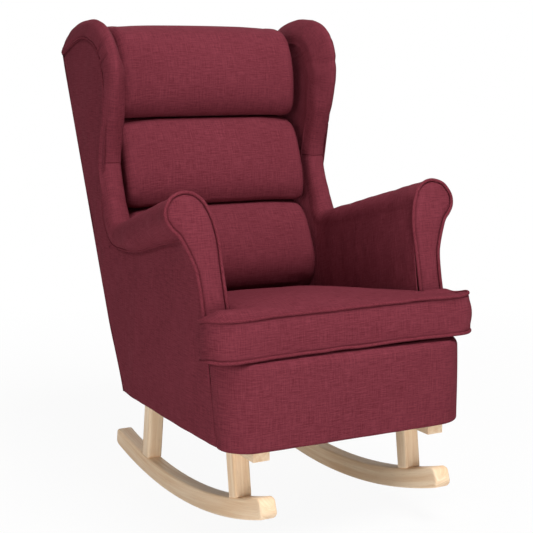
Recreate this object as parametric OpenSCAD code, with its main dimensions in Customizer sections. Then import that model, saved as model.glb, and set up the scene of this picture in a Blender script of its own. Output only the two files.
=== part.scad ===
// Wing-back rocking armchair.
// Millimetres, +Z up, the sitter looks towards -Y and the sitter's left hand is at +X.
// The origin is on the floor, at the centre of the chair's footprint.
// The upholstered seat body is drawn with its own underside at height 0 and lifted onto the rocker frames.

/* [Overall] */
// Height of the seat body's underside above the floor
base_z = 204; // [190:1:240]

/* [Rockers] */
// Radius of the rocker's underside
rocker_r = 1520; // [1300:1:1900]
// Height of the rocker's bar
rocker_h = 42; // [34:1:50]
// Width of the rockers, legs and top rails
rocker_w = 35; // [28:1:40]
// Distance between the centres of the two rockers
rocker_spacing = 396; // [380:1:410]
// Where the rocker touches the floor
rocker_low_y = 44; // [30:1:80]
// Reach of the rocker in front of its lowest point, as an angle of its arc
rocker_front_angle = 19; // [18:0.1:21]
// Reach of the rocker behind its lowest point, as an angle of its arc
rocker_rear_angle = 11.2; // [9:0.1:14]
// Rounding of the rocker's ends
rocker_end_r = 14; // [4:1:16]

/* [Legs and top rails] */
// Thickness of a leg, front to back
leg_t = 37; // [30:1:44]
// Middle of the front leg where it meets the top rail
front_leg_y = -307; // [-325:1:-290]
// Forward lean of the front leg going down
front_leg_lean = 7.5; // [0:0.5:12]
// Middle of the rear leg where it meets the top rail
rear_leg_y = 122; // [100:1:130]
// Rearward lean of the rear leg going down
rear_leg_lean = 11; // [0:0.5:14]
// Thickness of the top rail
rail_t = 20; // [18:1:28]
// Front end of the top rail
rail_front_y = -414; // [-425:1:-360]
// Rear end of the top rail
rail_rear_y = 146; // [144:1:150]

/* [Fasteners] */
// Radius of the long screws that join the rockers, rails and legs
leg_screw_r = 3; // [2:0.5:4]
// Depth of a screw in a leg
leg_screw_hold = 30; // [20:1:40]
// Radius of a screw's head
screw_head_r = 6; // [5:0.5:8]
// Thickness of a screw's head
screw_head_t = 4; // [3:0.5:5]
// Radius of the dowels between rocker and leg
dowel_r = 4; // [3:0.5:4.5]
// Depth of a dowel in each piece
dowel_hold = 14; // [8:1:18]
// Distance of a dowel from the middle of its leg
dowel_offset = 11; // [9:0.5:12]
// Radius of the bolts that hold the rocker frames to the seat body
bolt_r = 4; // [3:0.5:5]
// Radius of a bolt's head
bolt_head_r = 7; // [6:0.5:8]
// Thickness of a bolt's head
bolt_head_t = 4; // [3:0.5:5]
// Radius of a bolt's washer
washer_r = 9; // [8.5:0.5:10]
// Thickness of a bolt's washer
washer_t = 1.6; // [1:0.1:2.5]
// Outer radius of the insert nuts in the runners
insert_r = 6.5; // [5.5:0.5:8]
// Length of the insert nuts
insert_l = 14; // [10:1:17]
// Radius of the screws in the seat frame
frame_screw_r = 2.5; // [2:0.5:3]
// Length of the screws in the seat frame
frame_screw_l = 55; // [45:1:65]
// How far the screw heads are sunk into the rocker's underside
head_sink = 2; // [1:0.5:4]
// Gap beyond the end of a dowel, screw or bolt, and around a sunk head
end_gap = 0.5; // [0.3:0.1:1]
// Clearance around a screw, bolt or dowel, and under a leg
hole_clearance = 0.05; // [0.02:0.01:0.1]

/* [Seat frame] */
// Half of the chair's width over its outer side panels
side_out = 274; // [272:1:277]
// Thickness of the padded outer side panels
side_panel_t = 12; // [10:1:14]
// Thickness of the upright boards in the sides
board_t = 20; // [16:1:22]
// Thickness of the seat rails
seat_rail_t = 20; // [16:1:24]
// Height of the seat rails
seat_rail_h = 140; // [110:1:141]
// Front face of the seat body
base_front_y = -435; // [-445:1:-425]
// Thickness of the padded front panel
front_panel_t = 12; // [10:1:14]
// Height of the padded front panel
front_panel_h = 171; // [150:1:172]
// Radius of the front panel's corners
base_corner_r = 68; // [50:1:72]
// Seam between front and side panels, at the seat body's underside
side_seam_y = -360; // [-366:1:-350]
// Rear edge of the seat body's underside
base_rear_y = 145; // [140:1:150]
// Distance of the rear rail in front of the underside's rear edge
rear_rail_inset = 34; // [30:1:50]
// Width of the runners that carry the rocker frames
runner_w = 54; // [46:1:58]
// Thickness of the runners
runner_t = 20; // [18:1:30]
// Thickness of the dust cover
dust_t = 0.8; // [0.5:0.1:1]
// Leg length of the corner blocks
block_leg = 60; // [40:1:70]
// Height of the corner blocks
block_h = 60; // [30:1:80]

/* [Suspension] */
// Number of zigzag springs
spring_count = 4; // [3:1:5]
// Distance between the springs
spring_spacing = 96; // [80:1:100]
// Half of the spring wire's thickness
spring_wire_r = 1.8; // [1.4:0.1:2.2]
// Half of a spring's width
spring_half_w = 24; // [18:1:28]
// Radius of the bends of a spring
spring_bend_r = 10; // [8:0.5:14]
// Width of a spring clip
clip_w = 22; // [16:1:30]
// Length of a spring clip
clip_l = 16; // [12:1:18]
// Wall of a spring clip
clip_wall = 1.6; // [1:0.1:2]
// Thickness of the deck pad above the springs
deck_t = 29; // [20:1:40]
// Number of webbing straps behind the bolsters
strap_count = 4; // [3:1:4]
// Width of a strap
strap_w = 50; // [40:1:60]
// Thickness of a strap
strap_t = 3; // [2:0.5:4]

/* [Arms] */
// Radius of the arm's roll
roll_r = 45; // [42:0.5:47]
// Distance of the roll's axis from the middle of the chair
roll_x = 281; // [278:1:284]
// Front end of the roll's axis
arm_front_y = -278; // [-290:1:-265]
// Height of the roll's front end above the seat body's underside
arm_front_h = 441; // [425:1:455]
// Drop of the arm towards the back
arm_drop = 14; // [10:0.5:16]
// Thickness of the arm's inner padding
arm_pad_t = 27; // [22:1:28]
// Radius of the arm's roll where it ends under the wing
roll_rear_r = 34; // [32:0.5:38]
// Distance of the roll's axis from the middle of the chair, where it ends under the wing
roll_rear_x = 258; // [254:1:262]
// Width of the board inside the roll
arm_board_w = 44; // [38:1:48]
// How far the board lies inwards from the middle of the roll
arm_board_shift = 4; // [0:1:6]
// Thickness of the board inside the roll
arm_board_t = 16; // [12:1:20]
// Width of the front post under the arm
post_w = 60; // [40:1:90]
// Thickness of the arm's front facing
facing_t = 12; // [8:1:14]
// Width of the facing at its foot
facing_foot_w = 60; // [56:1:62]
// Width of the facing at its neck, under the roll
facing_neck_w = 76; // [68:1:80]
// Depth below the roll's axis where the facing starts to widen towards its neck
facing_neck_h = 130; // [110:5:150]
// Depth below the roll's axis where the arm's inner padding starts to lean out
arm_lean_low = 190; // [170:5:210]
// Depth below the roll's axis where the inner padding has leaned out by its first step
arm_lean_high = 95; // [80:5:110]
// First step by which the arm's inner padding leans out
arm_lean = 6; // [4:1:10]
// How far the arm's roll reaches back under the wing's front edge
roll_under_wing = 8; // [4:1:14]
// How far the piping stands out from a seam
piping_out = 3; // [2:0.5:4]
// Width of the piping
piping_w = 6; // [4:0.5:8]

/* [Back] */
// Length of the back's rear face, from the seat body's underside up
back_l = 843.2; // [830:0.1:850]
// Rake of the back's rear face
rake = 22.3; // [21.5:0.1:23.5]
// Thickness of the outer back panel
back_panel_t = 9; // [6:1:12]
// Thickness of the back frame, front to back
back_frame_t = 42; // [34:1:46]
// Height of the rails across the back
cross_rail_h = 60; // [40:1:80]
// Foot of the lower cross rail, along the back
lower_rail_at = 165; // [155:1:200]
// Foot of the middle cross rail, along the back
middle_rail_at = 430; // [380:1:480]
// Top of the upper cross rail below the back's upper end
upper_rail_below = 30; // [28:1:60]
// Height of the lower crease between bolsters
crease_low_h = 411; // [395:1:425]
// Height of the upper crease between bolsters
crease_high_h = 611; // [595:1:625]
// Height of the back's padded top
back_top_h = 822; // [812:1:826]
// Half of the gap between two bolsters at their crease
crease_gap = 1; // [0.5:0.1:2]
// Front of the lower bolster at the seat
bolster_foot_y = 112; // [110:1:118]
// Front of the lower crease
crease_low_y = 188; // [180:1:196]
// Front of the upper crease
crease_high_y = 238; // [230:1:246]

/* [Wings] */
// Foot of the wing's front edge, where it meets the arm
wing_foot_y = 156; // [150:1:160]
// Height of that foot
wing_foot_h = 386; // [380:1:392]
// Highest point of the wing
wing_top_h = 836; // [828:1:842]
// How far the wing's edge reaches back from its foot
wing_reach = 284; // [276:1:290]
// Distance of the wing's inner face from the middle of the chair
wing_in = 234; // [228:1:236]
// How far the wing's roll overhangs the outer side panel
wing_overhang = 13; // [6:1:16]
// Thickness of the padding over the wing board's edge
wing_edge_t = 14; // [10:1:18]
// Width of the roll along the wing's edge
wing_roll_w = 28; // [22:1:34]

/* [Seat cushion] */
// How far the cushion stands out in front of the seat body
cushion_overhang = 27; // [15:1:35]
// Half of the cushion's width in front of the arms
cushion_ear_x = 297; // [290:1:305]
// Height of the cushion's border
cushion_border_h = 74; // [60:1:90]
// Crown of the cushion above its border
cushion_crown = 22; // [12:1:30]
// Radius of the cushion's front corners
cushion_corner_r = 58; // [40:1:70]
// Radius of the cushion's rear corners
cushion_rear_r = 24; // [12:1:34]
// Width of the zip tape on the cushion's rear border
zip_w = 22; // [14:1:30]
// Length of the zip
zip_l = 340; // [200:1:370]
// Thickness of the zip
zip_t = 1.5; // [1:0.1:2]

/* [Clearances] */
// Clearance of a padded piece from its neighbours
soft_gap = 0.3; // [0.2:0.1:0.6]
// Clearance of the loose cushion from the chair
cushion_gap = 0.6; // [0.4:0.1:1]

/* [Hidden] */
$fn = 96;

// Facets of the large arcs
arc_fn = 720;
// Degrees between the points of the rocker's arcs and of its rounded ends
arc_step = 0.5;
corner_step = 10;
// Longer than any piece, for cuts that pass right through
far = 2000;

wood = "burlywood";
timber = "tan";
fabric = "#7a3340";
metal = "silver";

back_top = back_l - upper_rail_below;
back_edge_y = base_rear_y + back_l * sin(rake);
cushion_front_y = base_front_y - cushion_overhang;
cushion_rear_y = bolster_foot_y - cushion_gap;

// Heights in the rocker frames
rail_z = base_z - rail_t;
rail_x = rocker_spacing / 2;

// Layers of the sides, from the outside in
side_panel_in = side_out - side_panel_t;
board_out = side_panel_in - soft_gap;
board_in = board_out - board_t;
side_rail_in = board_in - seat_rail_t;
arm_in = board_in - soft_gap - arm_pad_t;

// Heights in the seat body
frame_z = dust_t + soft_gap;
rail_top_h = frame_z + seat_rail_h;
spring_h = rail_top_h + clip_wall + spring_wire_r;
deck_h = spring_h + spring_wire_r + soft_gap;
deck_top_h = deck_h + deck_t;
cushion_h = deck_top_h + cushion_gap;
front_rail_y = base_front_y + front_panel_t + soft_gap;
rear_rail_y = base_rear_y - rear_rail_inset;
front_rail_back_y = front_rail_y + seat_rail_t;

// Layers of the back, measured forward from its rear face
frame_rear_n = back_panel_t + soft_gap;
frame_front_n = frame_rear_n + back_frame_t;
bolster_n = frame_front_n + strap_t + soft_gap;

// Where the bolts pass through the top rails
bolt_ys = [for (part = [0.086, 0.382, 0.846]) rail_front_y + part * (rail_rear_y - rail_front_y)];

// Smooth curve through a list of points, with a number of steps between neighbours
function curve_point(a, b, c, d, t) =
    0.5 * (2 * b + (c - a) * t + (2 * a - 5 * b + 4 * c - d) * t * t + (3 * b - a - 3 * c + d) * t * t * t);
function smooth(points, steps) = let (last = len(points) - 1) [
    for (i = [0:last - 1]) for (s = [0:steps - 1])
        curve_point(points[max(i - 1, 0)], points[i], points[i + 1], points[min(i + 2, last)], s / steps),
    points[last]
];
// The same curve moved sideways, to the right of its direction
function side_step(points, d) = let (last = len(points) - 1) [
    for (i = [0:last]) let (v = points[min(i + 1, last)] - points[max(i - 1, 0)])
        points[i] + d * [v[1], -v[0]] / norm(v)
];

// Distance down a leg's middle line from the top rail to the rocker
function leg_reach(y, lean) =
    let (from = [y - rocker_low_y, rail_z - rocker_r], way = [sin(lean), -cos(lean)], b = from * way)
    sqrt(b * b - from * from + pow(rocker_r - rocker_h, 2)) - b;

// Back line of the chair, and lines in front of it by a thickness, in the seat body
function back_y(h, thickness = 0) = base_rear_y + h * tan(rake) - thickness / cos(rake);
// Height on the arm's line at a place v above the roll's axis
function arm_h(y, v = 0) = arm_front_h - (y - arm_front_y) * tan(arm_drop) + v / cos(arm_drop);
// Plane of the arm's facing, and planes behind it by a distance u
function facing_y(h, u = 0) = arm_front_y + (h - arm_front_h) * tan(arm_drop) + u / cos(arm_drop);

// A shape drawn as parts of the way from one point to another
function drawn(shape, from, to) = [for (p = shape) [for (k = [0, 1]) from[k] + p[k] * (to[k] - from[k])]];

// Front edge of the wing, from the arm up and over its top, in the seat body
wing_edge = smooth(drawn([
    [0, 0], [0.106, 0.111], [0.169, 0.244], [0.134, 0.369], [0.035, 0.511], [-0.042, 0.656],
    [-0.032, 0.796], [0.056, 0.918], [0.239, 0.987], [0.437, 1], [0.634, 0.973], [0.824, 0.924], [1, 0.871]
], [wing_foot_y, wing_foot_h], [wing_foot_y + wing_reach, wing_top_h]), 4);

/* Placing helpers */

// The seat body stands on the rocker frames
module lifted() {
    translate([0, 0, base_z]) children();
}

// Left pieces are drawn at +X, right ones are their mirror image
module on_side(side) {
    if (side == "right") mirror([1, 0, 0]) children();
    else children();
}

// Solid between two x positions, from an outline in y and z
module slab(x0, x1) {
    translate([x0, 0, 0]) rotate([90, 0, 90]) linear_extrude(height = x1 - x0) children();
}

// Solid along the arm between two places, from an outline in x and height over the roll's axis
module along_arm(u0, u1) {
    translate([0, arm_front_y, arm_front_h]) rotate([90 - arm_drop, 0, 0])
        translate([0, 0, -u1]) linear_extrude(height = u1 - u0) children();
}

// Frame of the raked back: its local Z runs up the rear face, and local -Y points to the front
module on_back() {
    translate([0, base_rear_y, 0]) rotate([-rake, 0, 0]) children();
}

// Upright cylinder from one height to another
module post(r, z0, z1) {
    translate([0, 0, z0]) cylinder(r = r, h = z1 - z0);
}

// Rounded rectangle in plan, with separate radii for its front and rear corners
module rounded_plan(half_w, front_y, rear_y, front_r, rear_r) {
    for (s = [-1, 1]) {
        translate([s * (half_w - front_r), front_y + front_r]) circle(r = front_r);
        translate([s * (half_w - rear_r), rear_y - rear_r]) circle(r = rear_r);
    }
    translate([-half_w, front_y + front_r]) square([2 * half_w, rear_y - rear_r - front_y - front_r]);
    translate([front_r - half_w, front_y]) square([2 * (half_w - front_r), front_r]);
    translate([rear_r - half_w, rear_y - rear_r]) square([2 * (half_w - rear_r), rear_r]);
}

/* Rocker frames */

// Points of an arc between two angles; 0 points straight down and positive angles go to the rear
function arc(centre, r, from, to, step) = let (n = ceil(abs(to - from) / step))
    [for (i = [0:n]) let (a = from + (to - from) * i / n) centre + r * [sin(a), -cos(a)]];

// Outline of the rocker's bar: its underside, its rounded rear end, its top and its rounded front end
module rocker_outline() {
    ease = asin(rocker_end_r / rocker_r);
    front = ease - rocker_front_angle;
    rear = rocker_rear_angle - ease;
    inner_r = rocker_r - rocker_h;
    low = rocker_r - rocker_end_r;
    high = inner_r + rocker_end_r;
    translate([rocker_low_y, rocker_r]) polygon(concat(
        arc([0, 0], rocker_r, front, 0, arc_step),
        arc([0, 0], rocker_r, 0, rear, arc_step),
        arc(low * [sin(rear), -cos(rear)], rocker_end_r, rear, rear + 90, corner_step),
        arc(high * [sin(rear), -cos(rear)], rocker_end_r, rear + 90, rear + 180, corner_step),
        arc([0, 0], inner_r, rear, front, arc_step),
        arc(high * [sin(front), -cos(front)], rocker_end_r, front + 180, front + 270, corner_step),
        arc(low * [sin(front), -cos(front)], rocker_end_r, front + 270, front + 360, corner_step)
    ));
}

// Places what belongs to one leg: local Z runs up its middle line, with 0 on top of the rocker
module on_leg(y, lean) {
    translate([rail_x, y, rail_z]) rotate([lean, 0, 0]) translate([0, 0, -leg_reach(y, lean)]) children();
}

module at_each_leg() {
    on_leg(front_leg_y, -front_leg_lean) children();
    on_leg(rear_leg_y, rear_leg_lean) children();
}

module leg_screw_holes() {
    at_each_leg() {
        post(leg_screw_r + hole_clearance, -2 * rocker_h, leg_screw_hold + end_gap);
        post(screw_head_r + end_gap, -2 * rocker_h, head_sink + screw_head_t - rocker_h);
    }
}

module dowel_holes() {
    at_each_leg() for (s = [-1, 1]) translate([0, s * dowel_offset, 0])
        post(dowel_r + hole_clearance, -dowel_hold - end_gap, dowel_hold + end_gap);
}

module rocker(side) {
    color(wood) on_side(side) difference() {
        slab(rail_x - rocker_w / 2, rail_x + rocker_w / 2) rocker_outline();
        leg_screw_holes();
        dowel_holes();
    }
}

// One leg: a straight bar, cut to the rocker's top arc and to the rail's underside
module leg(side, y, lean) {
    color(wood) on_side(side) difference() {
        slab(rail_x - rocker_w / 2, rail_x + rocker_w / 2) intersection() {
            translate([y, rail_z]) rotate(lean) translate([-leg_t / 2, -far / 2]) square([leg_t, far]);
            translate([-far / 2, 0]) square([far, rail_z]);
            translate([rocker_low_y, rocker_r]) circle(r = rocker_r - rocker_h - hole_clearance, $fn = arc_fn);
        }
        leg_screw_holes();
        dowel_holes();
        rail_screw_holes();
    }
}

// Two screws go down through the rail into each leg
module at_rail_screws() {
    for (y = [front_leg_y, rear_leg_y], s = [-1, 1])
        translate([rail_x + s * rocker_w / 4, y, base_z]) children();
}

module rail_screw_holes() {
    at_rail_screws() {
        post(leg_screw_r + hole_clearance, -rail_t - leg_screw_hold, end_gap);
        post(screw_head_r + end_gap, -screw_head_t - end_gap, end_gap);
    }
}

module at_bolts() {
    for (y = bolt_ys) translate([rail_x, y, base_z]) children();
}

// Recess for a bolt's head and washer in the rail's underside
bolt_recess = bolt_head_t + washer_t + end_gap;
bolt_top = frame_z + runner_t - end_gap;
washer_h = bolt_recess - rail_t - washer_t;

module bolt_holes() {
    at_bolts() {
        post(bolt_r + hole_clearance, -2 * rail_t, bolt_top + 2 * end_gap);
        post(washer_r + end_gap, -2 * rail_t, bolt_recess - rail_t);
    }
}

module top_rail(side) {
    color(wood) on_side(side) difference() {
        translate([rail_x - rocker_w / 2, rail_front_y, rail_z])
            cube([rocker_w, rail_rear_y - rail_front_y, rail_t]);
        rail_screw_holes();
        bolt_holes();
    }
}

module leg_dowels() {
    color(timber) for (side = ["left", "right"]) on_side(side) at_each_leg()
        for (s = [-1, 1]) translate([0, s * dowel_offset, 0]) post(dowel_r, -dowel_hold, dowel_hold);
}

// Countersunk wood screw with its head's top face at height 0
module wood_screw(r, length) {
    post(r, -length, -screw_head_t / 2);
    post(screw_head_r, -screw_head_t, 0);
}

module leg_screws() {
    color(metal) for (side = ["left", "right"]) on_side(side) at_each_leg()
        translate([0, 0, head_sink - rocker_h]) mirror([0, 0, 1])
            wood_screw(leg_screw_r, leg_screw_hold + rocker_h - head_sink);
}

module rail_screws() {
    color(metal) for (side = ["left", "right"]) on_side(side) at_rail_screws()
        translate([0, 0, -end_gap]) wood_screw(leg_screw_r, rail_t + leg_screw_hold - 2 * end_gap);
}

module base_bolts() {
    color(metal) for (side = ["left", "right"]) on_side(side) at_bolts() {
        post(bolt_r, washer_h - bolt_head_t / 2, bolt_top);
        post(bolt_head_r, washer_h - bolt_head_t, washer_h);
    }
}

module bolt_washers() {
    color(metal) for (side = ["left", "right"]) on_side(side) at_bolts() difference() {
        post(washer_r, washer_h, washer_h + washer_t);
        post(bolt_r + hole_clearance, -rail_t, 0);
    }
}

// Threaded inserts stand in the runners, flush with their top
module insert_nuts() {
    color(metal) for (side = ["left", "right"]) on_side(side) at_bolts() difference() {
        post(insert_r, frame_z + runner_t - insert_l, frame_z + runner_t);
        post(bolt_r + hole_clearance, frame_z, frame_z + 2 * runner_t);
    }
}

/* Seat frame */

// Inside of the padded front panel, in plan
inner_corner_r = base_corner_r - front_panel_t;
// Rounding of the hidden rear corners
hidden_r = 2;
// Where the front rail's screw heads are sunk to
screw_head_back = 8;
// Heights of the frame screws, as parts of the rail's height
frame_screw_places = [0.28, 0.78];
// Gap between the runners and the corner blocks
block_gap = 5;

module inner_plan(rear_y) {
    rounded_plan(side_panel_in - soft_gap, front_rail_y, rear_y, inner_corner_r, hidden_r);
}

// Screw into the end of a rail: local Z points out of its head
module frame_screw(grow) {
    post(frame_screw_r + grow, -frame_screw_l - grow, 0);
    post(screw_head_r + grow, -screw_head_t - grow, grow > 0 ? 2 * screw_head_back : 0);
}

// Screws go back through the front rail into the side rails, and inwards into the rear rail
module frame_screws_of_side(grow) {
    for (at = frame_screw_places) translate([0, 0, frame_z + at * seat_rail_h]) {
        translate([side_rail_in + screw_head_r, front_rail_y + screw_head_back, 0]) rotate([90, 0, 0])
            frame_screw(grow);
        translate([board_in, rear_rail_y + seat_rail_t / 2, 0]) rotate([0, 90, 0]) frame_screw(grow);
    }
}

module frame_screw_holes() {
    for (side = ["left", "right"]) on_side(side) frame_screws_of_side(hole_clearance);
}

module frame_screws() {
    color(metal) lifted() for (side = ["left", "right"]) on_side(side) frame_screws_of_side(0);
}

// The front rail's ends are rounded to carry the front panel's corners
module seat_front_rail() {
    color(timber) lifted() difference() {
        translate([0, 0, frame_z]) linear_extrude(height = seat_rail_h) intersection() {
            inner_plan(0);
            translate([-board_in, front_rail_y]) square([2 * board_in, seat_rail_t]);
        }
        frame_screw_holes();
    }
}

module seat_rear_rail() {
    color(timber) lifted() difference() {
        translate([-side_rail_in, rear_rail_y, frame_z]) cube([2 * side_rail_in, seat_rail_t, seat_rail_h]);
        frame_screw_holes();
    }
}

module seat_side_rail(side) {
    color(timber) lifted() on_side(side) difference() {
        translate([side_rail_in, front_rail_back_y, frame_z])
            cube([seat_rail_t, rear_rail_y + seat_rail_t - front_rail_back_y, seat_rail_h]);
        frame_screws_of_side(hole_clearance);
    }
}

module runner(side) {
    color(timber) on_side(side) difference() {
        translate([side_rail_in - runner_w, front_rail_back_y, base_z + frame_z])
            cube([runner_w, rear_rail_y - front_rail_back_y, runner_t]);
        bolt_holes();
        at_bolts() post(insert_r, frame_z + runner_t - insert_l, frame_z + 2 * runner_t);
    }
}

module corner_blocks() {
    color(timber) lifted() for (side = ["left", "right"]) on_side(side)
        for (at = [[front_rail_back_y, 1], [rear_rail_y, -1]])
            translate([side_rail_in, at[0], frame_z + runner_t + block_gap]) linear_extrude(height = block_h)
                polygon([[0, 0], [-block_leg, 0], [0, at[1] * block_leg]]);
}

/* Suspension */

function spring_x(i) = (i - (spring_count - 1) / 2) * spring_spacing;
spring_from_y = front_rail_y + seat_rail_t / 2;
spring_to_y = rear_rail_y + seat_rail_t / 2;
// A whole number of rows fits between the rails
spring_rows = 2 * floor((spring_to_y - spring_from_y) / (4 * spring_bend_r));
spring_pitch = (spring_to_y - spring_from_y) / spring_rows;

// Flat outline of a spring: rows across, and a half ring from each row to the next
module spring_outline() {
    reach = spring_half_w - spring_pitch / 2;
    union() {
        for (k = [0:spring_rows]) translate([-reach, spring_from_y + k * spring_pitch - spring_wire_r])
            square([2 * reach, 2 * spring_wire_r]);
        for (k = [0:spring_rows - 1])
            translate([(k % 2 == 0 ? 1 : -1) * reach, spring_from_y + (k + 0.5) * spring_pitch])
                mirror([k % 2, 0]) spring_bend();
    }
}

module spring_bend() {
    difference() {
        circle(r = spring_pitch / 2 + spring_wire_r);
        circle(r = spring_pitch / 2 - spring_wire_r);
        translate([-spring_pitch, -spring_pitch]) square([spring_pitch, 2 * spring_pitch]);
    }
}

module seat_springs() {
    color(metal) lifted() for (i = [0:spring_count - 1])
        translate([spring_x(i), 0, spring_h - spring_wire_r]) linear_extrude(height = 2 * spring_wire_r)
            spring_outline();
}

// Clip that folds over the spring's last row on top of a rail
module spring_clip(y) {
    outer = spring_wire_r + clip_wall;
    inner = spring_wire_r + soft_gap;
    translate([-clip_w / 2, y, spring_h]) difference() {
        translate([0, -clip_l / 2, -outer]) cube([clip_w, clip_l, 2 * outer]);
        translate([-clip_w, -inner, -inner]) cube([3 * clip_w, 2 * inner, 2 * inner]);
    }
}

module spring_clips() {
    color(metal) lifted() for (i = [0:spring_count - 1], y = [spring_from_y, spring_to_y])
        translate([spring_x(i), 0, 0]) spring_clip(y);
}

// The deck pad fills the front corners, and lies between the posts behind them
module seat_deck() {
    step_y = facing_y(deck_h, facing_t) - soft_gap;
    color(fabric) lifted() difference() {
        translate([0, 0, deck_h]) linear_extrude(height = deck_t) {
            intersection() {
                inner_plan(0);
                translate([-side_out, -far]) square([2 * side_out, far + step_y]);
            }
            translate([soft_gap - board_in, step_y])
                square([2 * (board_in - soft_gap), rear_rail_y + seat_rail_t - step_y]);
        }
        for (i = [0:spring_count - 1], y = [spring_from_y, spring_to_y])
            translate([spring_x(i) - clip_w / 2 - end_gap, y - clip_l / 2 - end_gap, deck_h - clip_wall])
                cube([clip_w + 2 * end_gap, clip_l + 2 * end_gap, 2 * clip_wall + soft_gap]);
    }
}

module dust_cover() {
    color("dimgray") difference() {
        translate([0, 0, base_z]) linear_extrude(height = dust_t)
            inner_plan(back_y(0, frame_rear_n));
        for (side = ["left", "right"]) on_side(side) bolt_holes();
    }
}

/* Arms */

arm_body_u = facing_t + soft_gap;
// The roll ends under the wing's front edge
roll_end_u = (wing_edge[0][0] + roll_under_wing - arm_front_y) / cos(arm_drop);

// Everything in front of, or behind, a plane at n in front of the back's rear face, as an outline in y and h
module ahead_of_back(n) {
    polygon([[-far, -far], [back_y(-far, n), -far], [back_y(far, n), far], [-far, far]]);
}

// Everything above the line v over the roll's axis
module above_arm(v) {
    polygon([[-far, arm_h(-far, v)], [far, arm_h(far, v)], [far, far], [-far, far]]);
}

// Everything behind the wing's front edge and below its top, stepped in by d
module inside_wing(d) {
    edge = side_step(wing_edge, d);
    last = edge[len(edge) - 1];
    polygon(concat(edge, [[far, last[1]], [far, -far], [edge[0][0], -far]]));
}

module arm_post(side) {
    color(timber) lifted() on_side(side) intersection() {
        along_arm(arm_body_u, arm_body_u + post_w)
            translate([board_in, -far]) square([board_t, far - arm_board_t / 2]);
        translate([0, -far, frame_z]) cube([far, 2 * far, far]);
    }
}

// Places what runs along the roll's own axis, which closes in on the wing; local Z runs along it
module on_roll_axis() {
    rise = atan2(roll_r - roll_rear_r, roll_end_u);
    turn = atan2(roll_x - roll_rear_x, roll_end_u);
    translate([roll_x, arm_front_y, arm_front_h]) rotate([-arm_drop, 0, 0]) rotate([rise - 90, 0, turn]) children();
}

// The roll narrows evenly from the facing to the wing
module roll(grow) {
    narrowing = (roll_r - roll_rear_r) / roll_end_u;
    over = 60;
    on_roll_axis() translate([0, 0, -over]) cylinder(
        r1 = roll_r + grow + over * narrowing, r2 = roll_rear_r + grow - over * narrowing,
        h = roll_end_u + 2 * over);
}

// The stretch of the arm between its facing and the wing
module arm_stretch() {
    along_arm(arm_body_u, roll_end_u) translate([0, -far]) square([far, 2 * far]);
}

module arm_board_bar(grow) {
    on_roll_axis() translate([-arm_board_w / 2 - arm_board_shift - grow, -arm_board_t / 2 - grow, -far])
        cube([arm_board_w + 2 * grow, arm_board_t + 2 * grow, 3 * far]);
}

module arm_board(side) {
    color(timber) lifted() on_side(side) intersection() {
        arm_stretch();
        arm_board_bar(0);
    }
}

// Section of the arm's inner padding: upright at the seat, then leaning out to meet the roll
roll_in = roll_x - roll_r + 1;
function arm_inner_side(grow) = [
    [arm_in - grow, -far], [arm_in - grow, -arm_lean_low], [arm_in + arm_lean - grow, -arm_lean_high],
    [roll_in - grow, -arm_board_t / 2]
];

// The inner padding runs back to the back's frame; the roll wraps the board on top of the post
module arm_pad(side) {
    inner_top = roll_r - roll_rear_r;
    color(fabric) lifted() on_side(side) difference() {
        intersection() {
            union() {
                intersection() {
                    roll(0);
                    arm_stretch();
                }
                along_arm(arm_body_u, far) polygon(concat(arm_inner_side(0), [
                    [roll_in, inner_top], [board_in - soft_gap, inner_top], [board_in - soft_gap, -far]
                ]));
            }
            slab(0, far) ahead_of_back(frame_front_n + soft_gap);
            translate([0, -far, deck_top_h + soft_gap]) cube([far, 2 * far, far]);
        }
        arm_board_bar(soft_gap);
        along_arm(-far, far) translate([board_in - soft_gap, -far])
            square([board_t + 2 * soft_gap, far - arm_board_t / 2]);
    }
}

// Everything inside the facing's outline, grown by a little, between two places along the arm
module facing_solid(grow, u0, u1) {
    along_arm(u0, u1) translate([roll_x, 0]) circle(r = roll_r + grow);
    along_arm(u0, u1) polygon(concat(arm_inner_side(grow), [
        [roll_x, -arm_board_t / 2], [arm_in + arm_lean + facing_neck_w + grow, hidden_r - roll_r],
        [arm_in + facing_foot_w + grow, -facing_neck_h], [arm_in + facing_foot_w + grow, -far]
    ]));
}

module above_deck(side) {
    on_side(side) intersection() {
        children();
        translate([0, -far, deck_top_h + soft_gap]) cube([far, 2 * far, far]);
    }
}

module arm_facing(side) {
    color(fabric) lifted() above_deck(side) facing_solid(0, 0, facing_t);
}

module facing_piping(side) {
    color(fabric) lifted() above_deck(side) difference() {
        facing_solid(piping_out, 0, piping_w);
        facing_solid(soft_gap, -piping_w, 2 * piping_w);
    }
}

/* Back and wings */

// Board across or up the back's frame, between two places along it
module back_board(x0, x1, w0, w1) {
    on_back() translate([x0, -frame_front_n, w0]) cube([x1 - x0, back_frame_t, w1 - w0]);
}

module back_post(side) {
    color(timber) lifted() on_side(side) intersection() {
        back_board(board_in, board_out, -far, back_top);
        slab(board_in, board_out) inside_wing(wing_edge_t);
        translate([0, -far, frame_z]) cube([far, 2 * far, far]);
    }
}

module back_rail(w) {
    color(timber) lifted() back_board(-board_in, board_in, w, w + cross_rail_h);
}

module back_lower_rail() { back_rail(lower_rail_at); }

module back_middle_rail() { back_rail(middle_rail_at); }

module back_upper_rail() { back_rail(back_top - cross_rail_h); }

// Straps run up the front of the cross rails
module back_webbing() {
    spacing = (2 * board_in - strap_w) / (strap_count - 0.5);
    color("black") lifted() for (i = [0:strap_count - 1]) on_back()
        translate([(i - (strap_count - 1) / 2) * spacing - strap_w / 2, -frame_front_n - strap_t, lower_rail_at])
            cube([strap_w, strap_t, back_top - lower_rail_at]);
}

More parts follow.
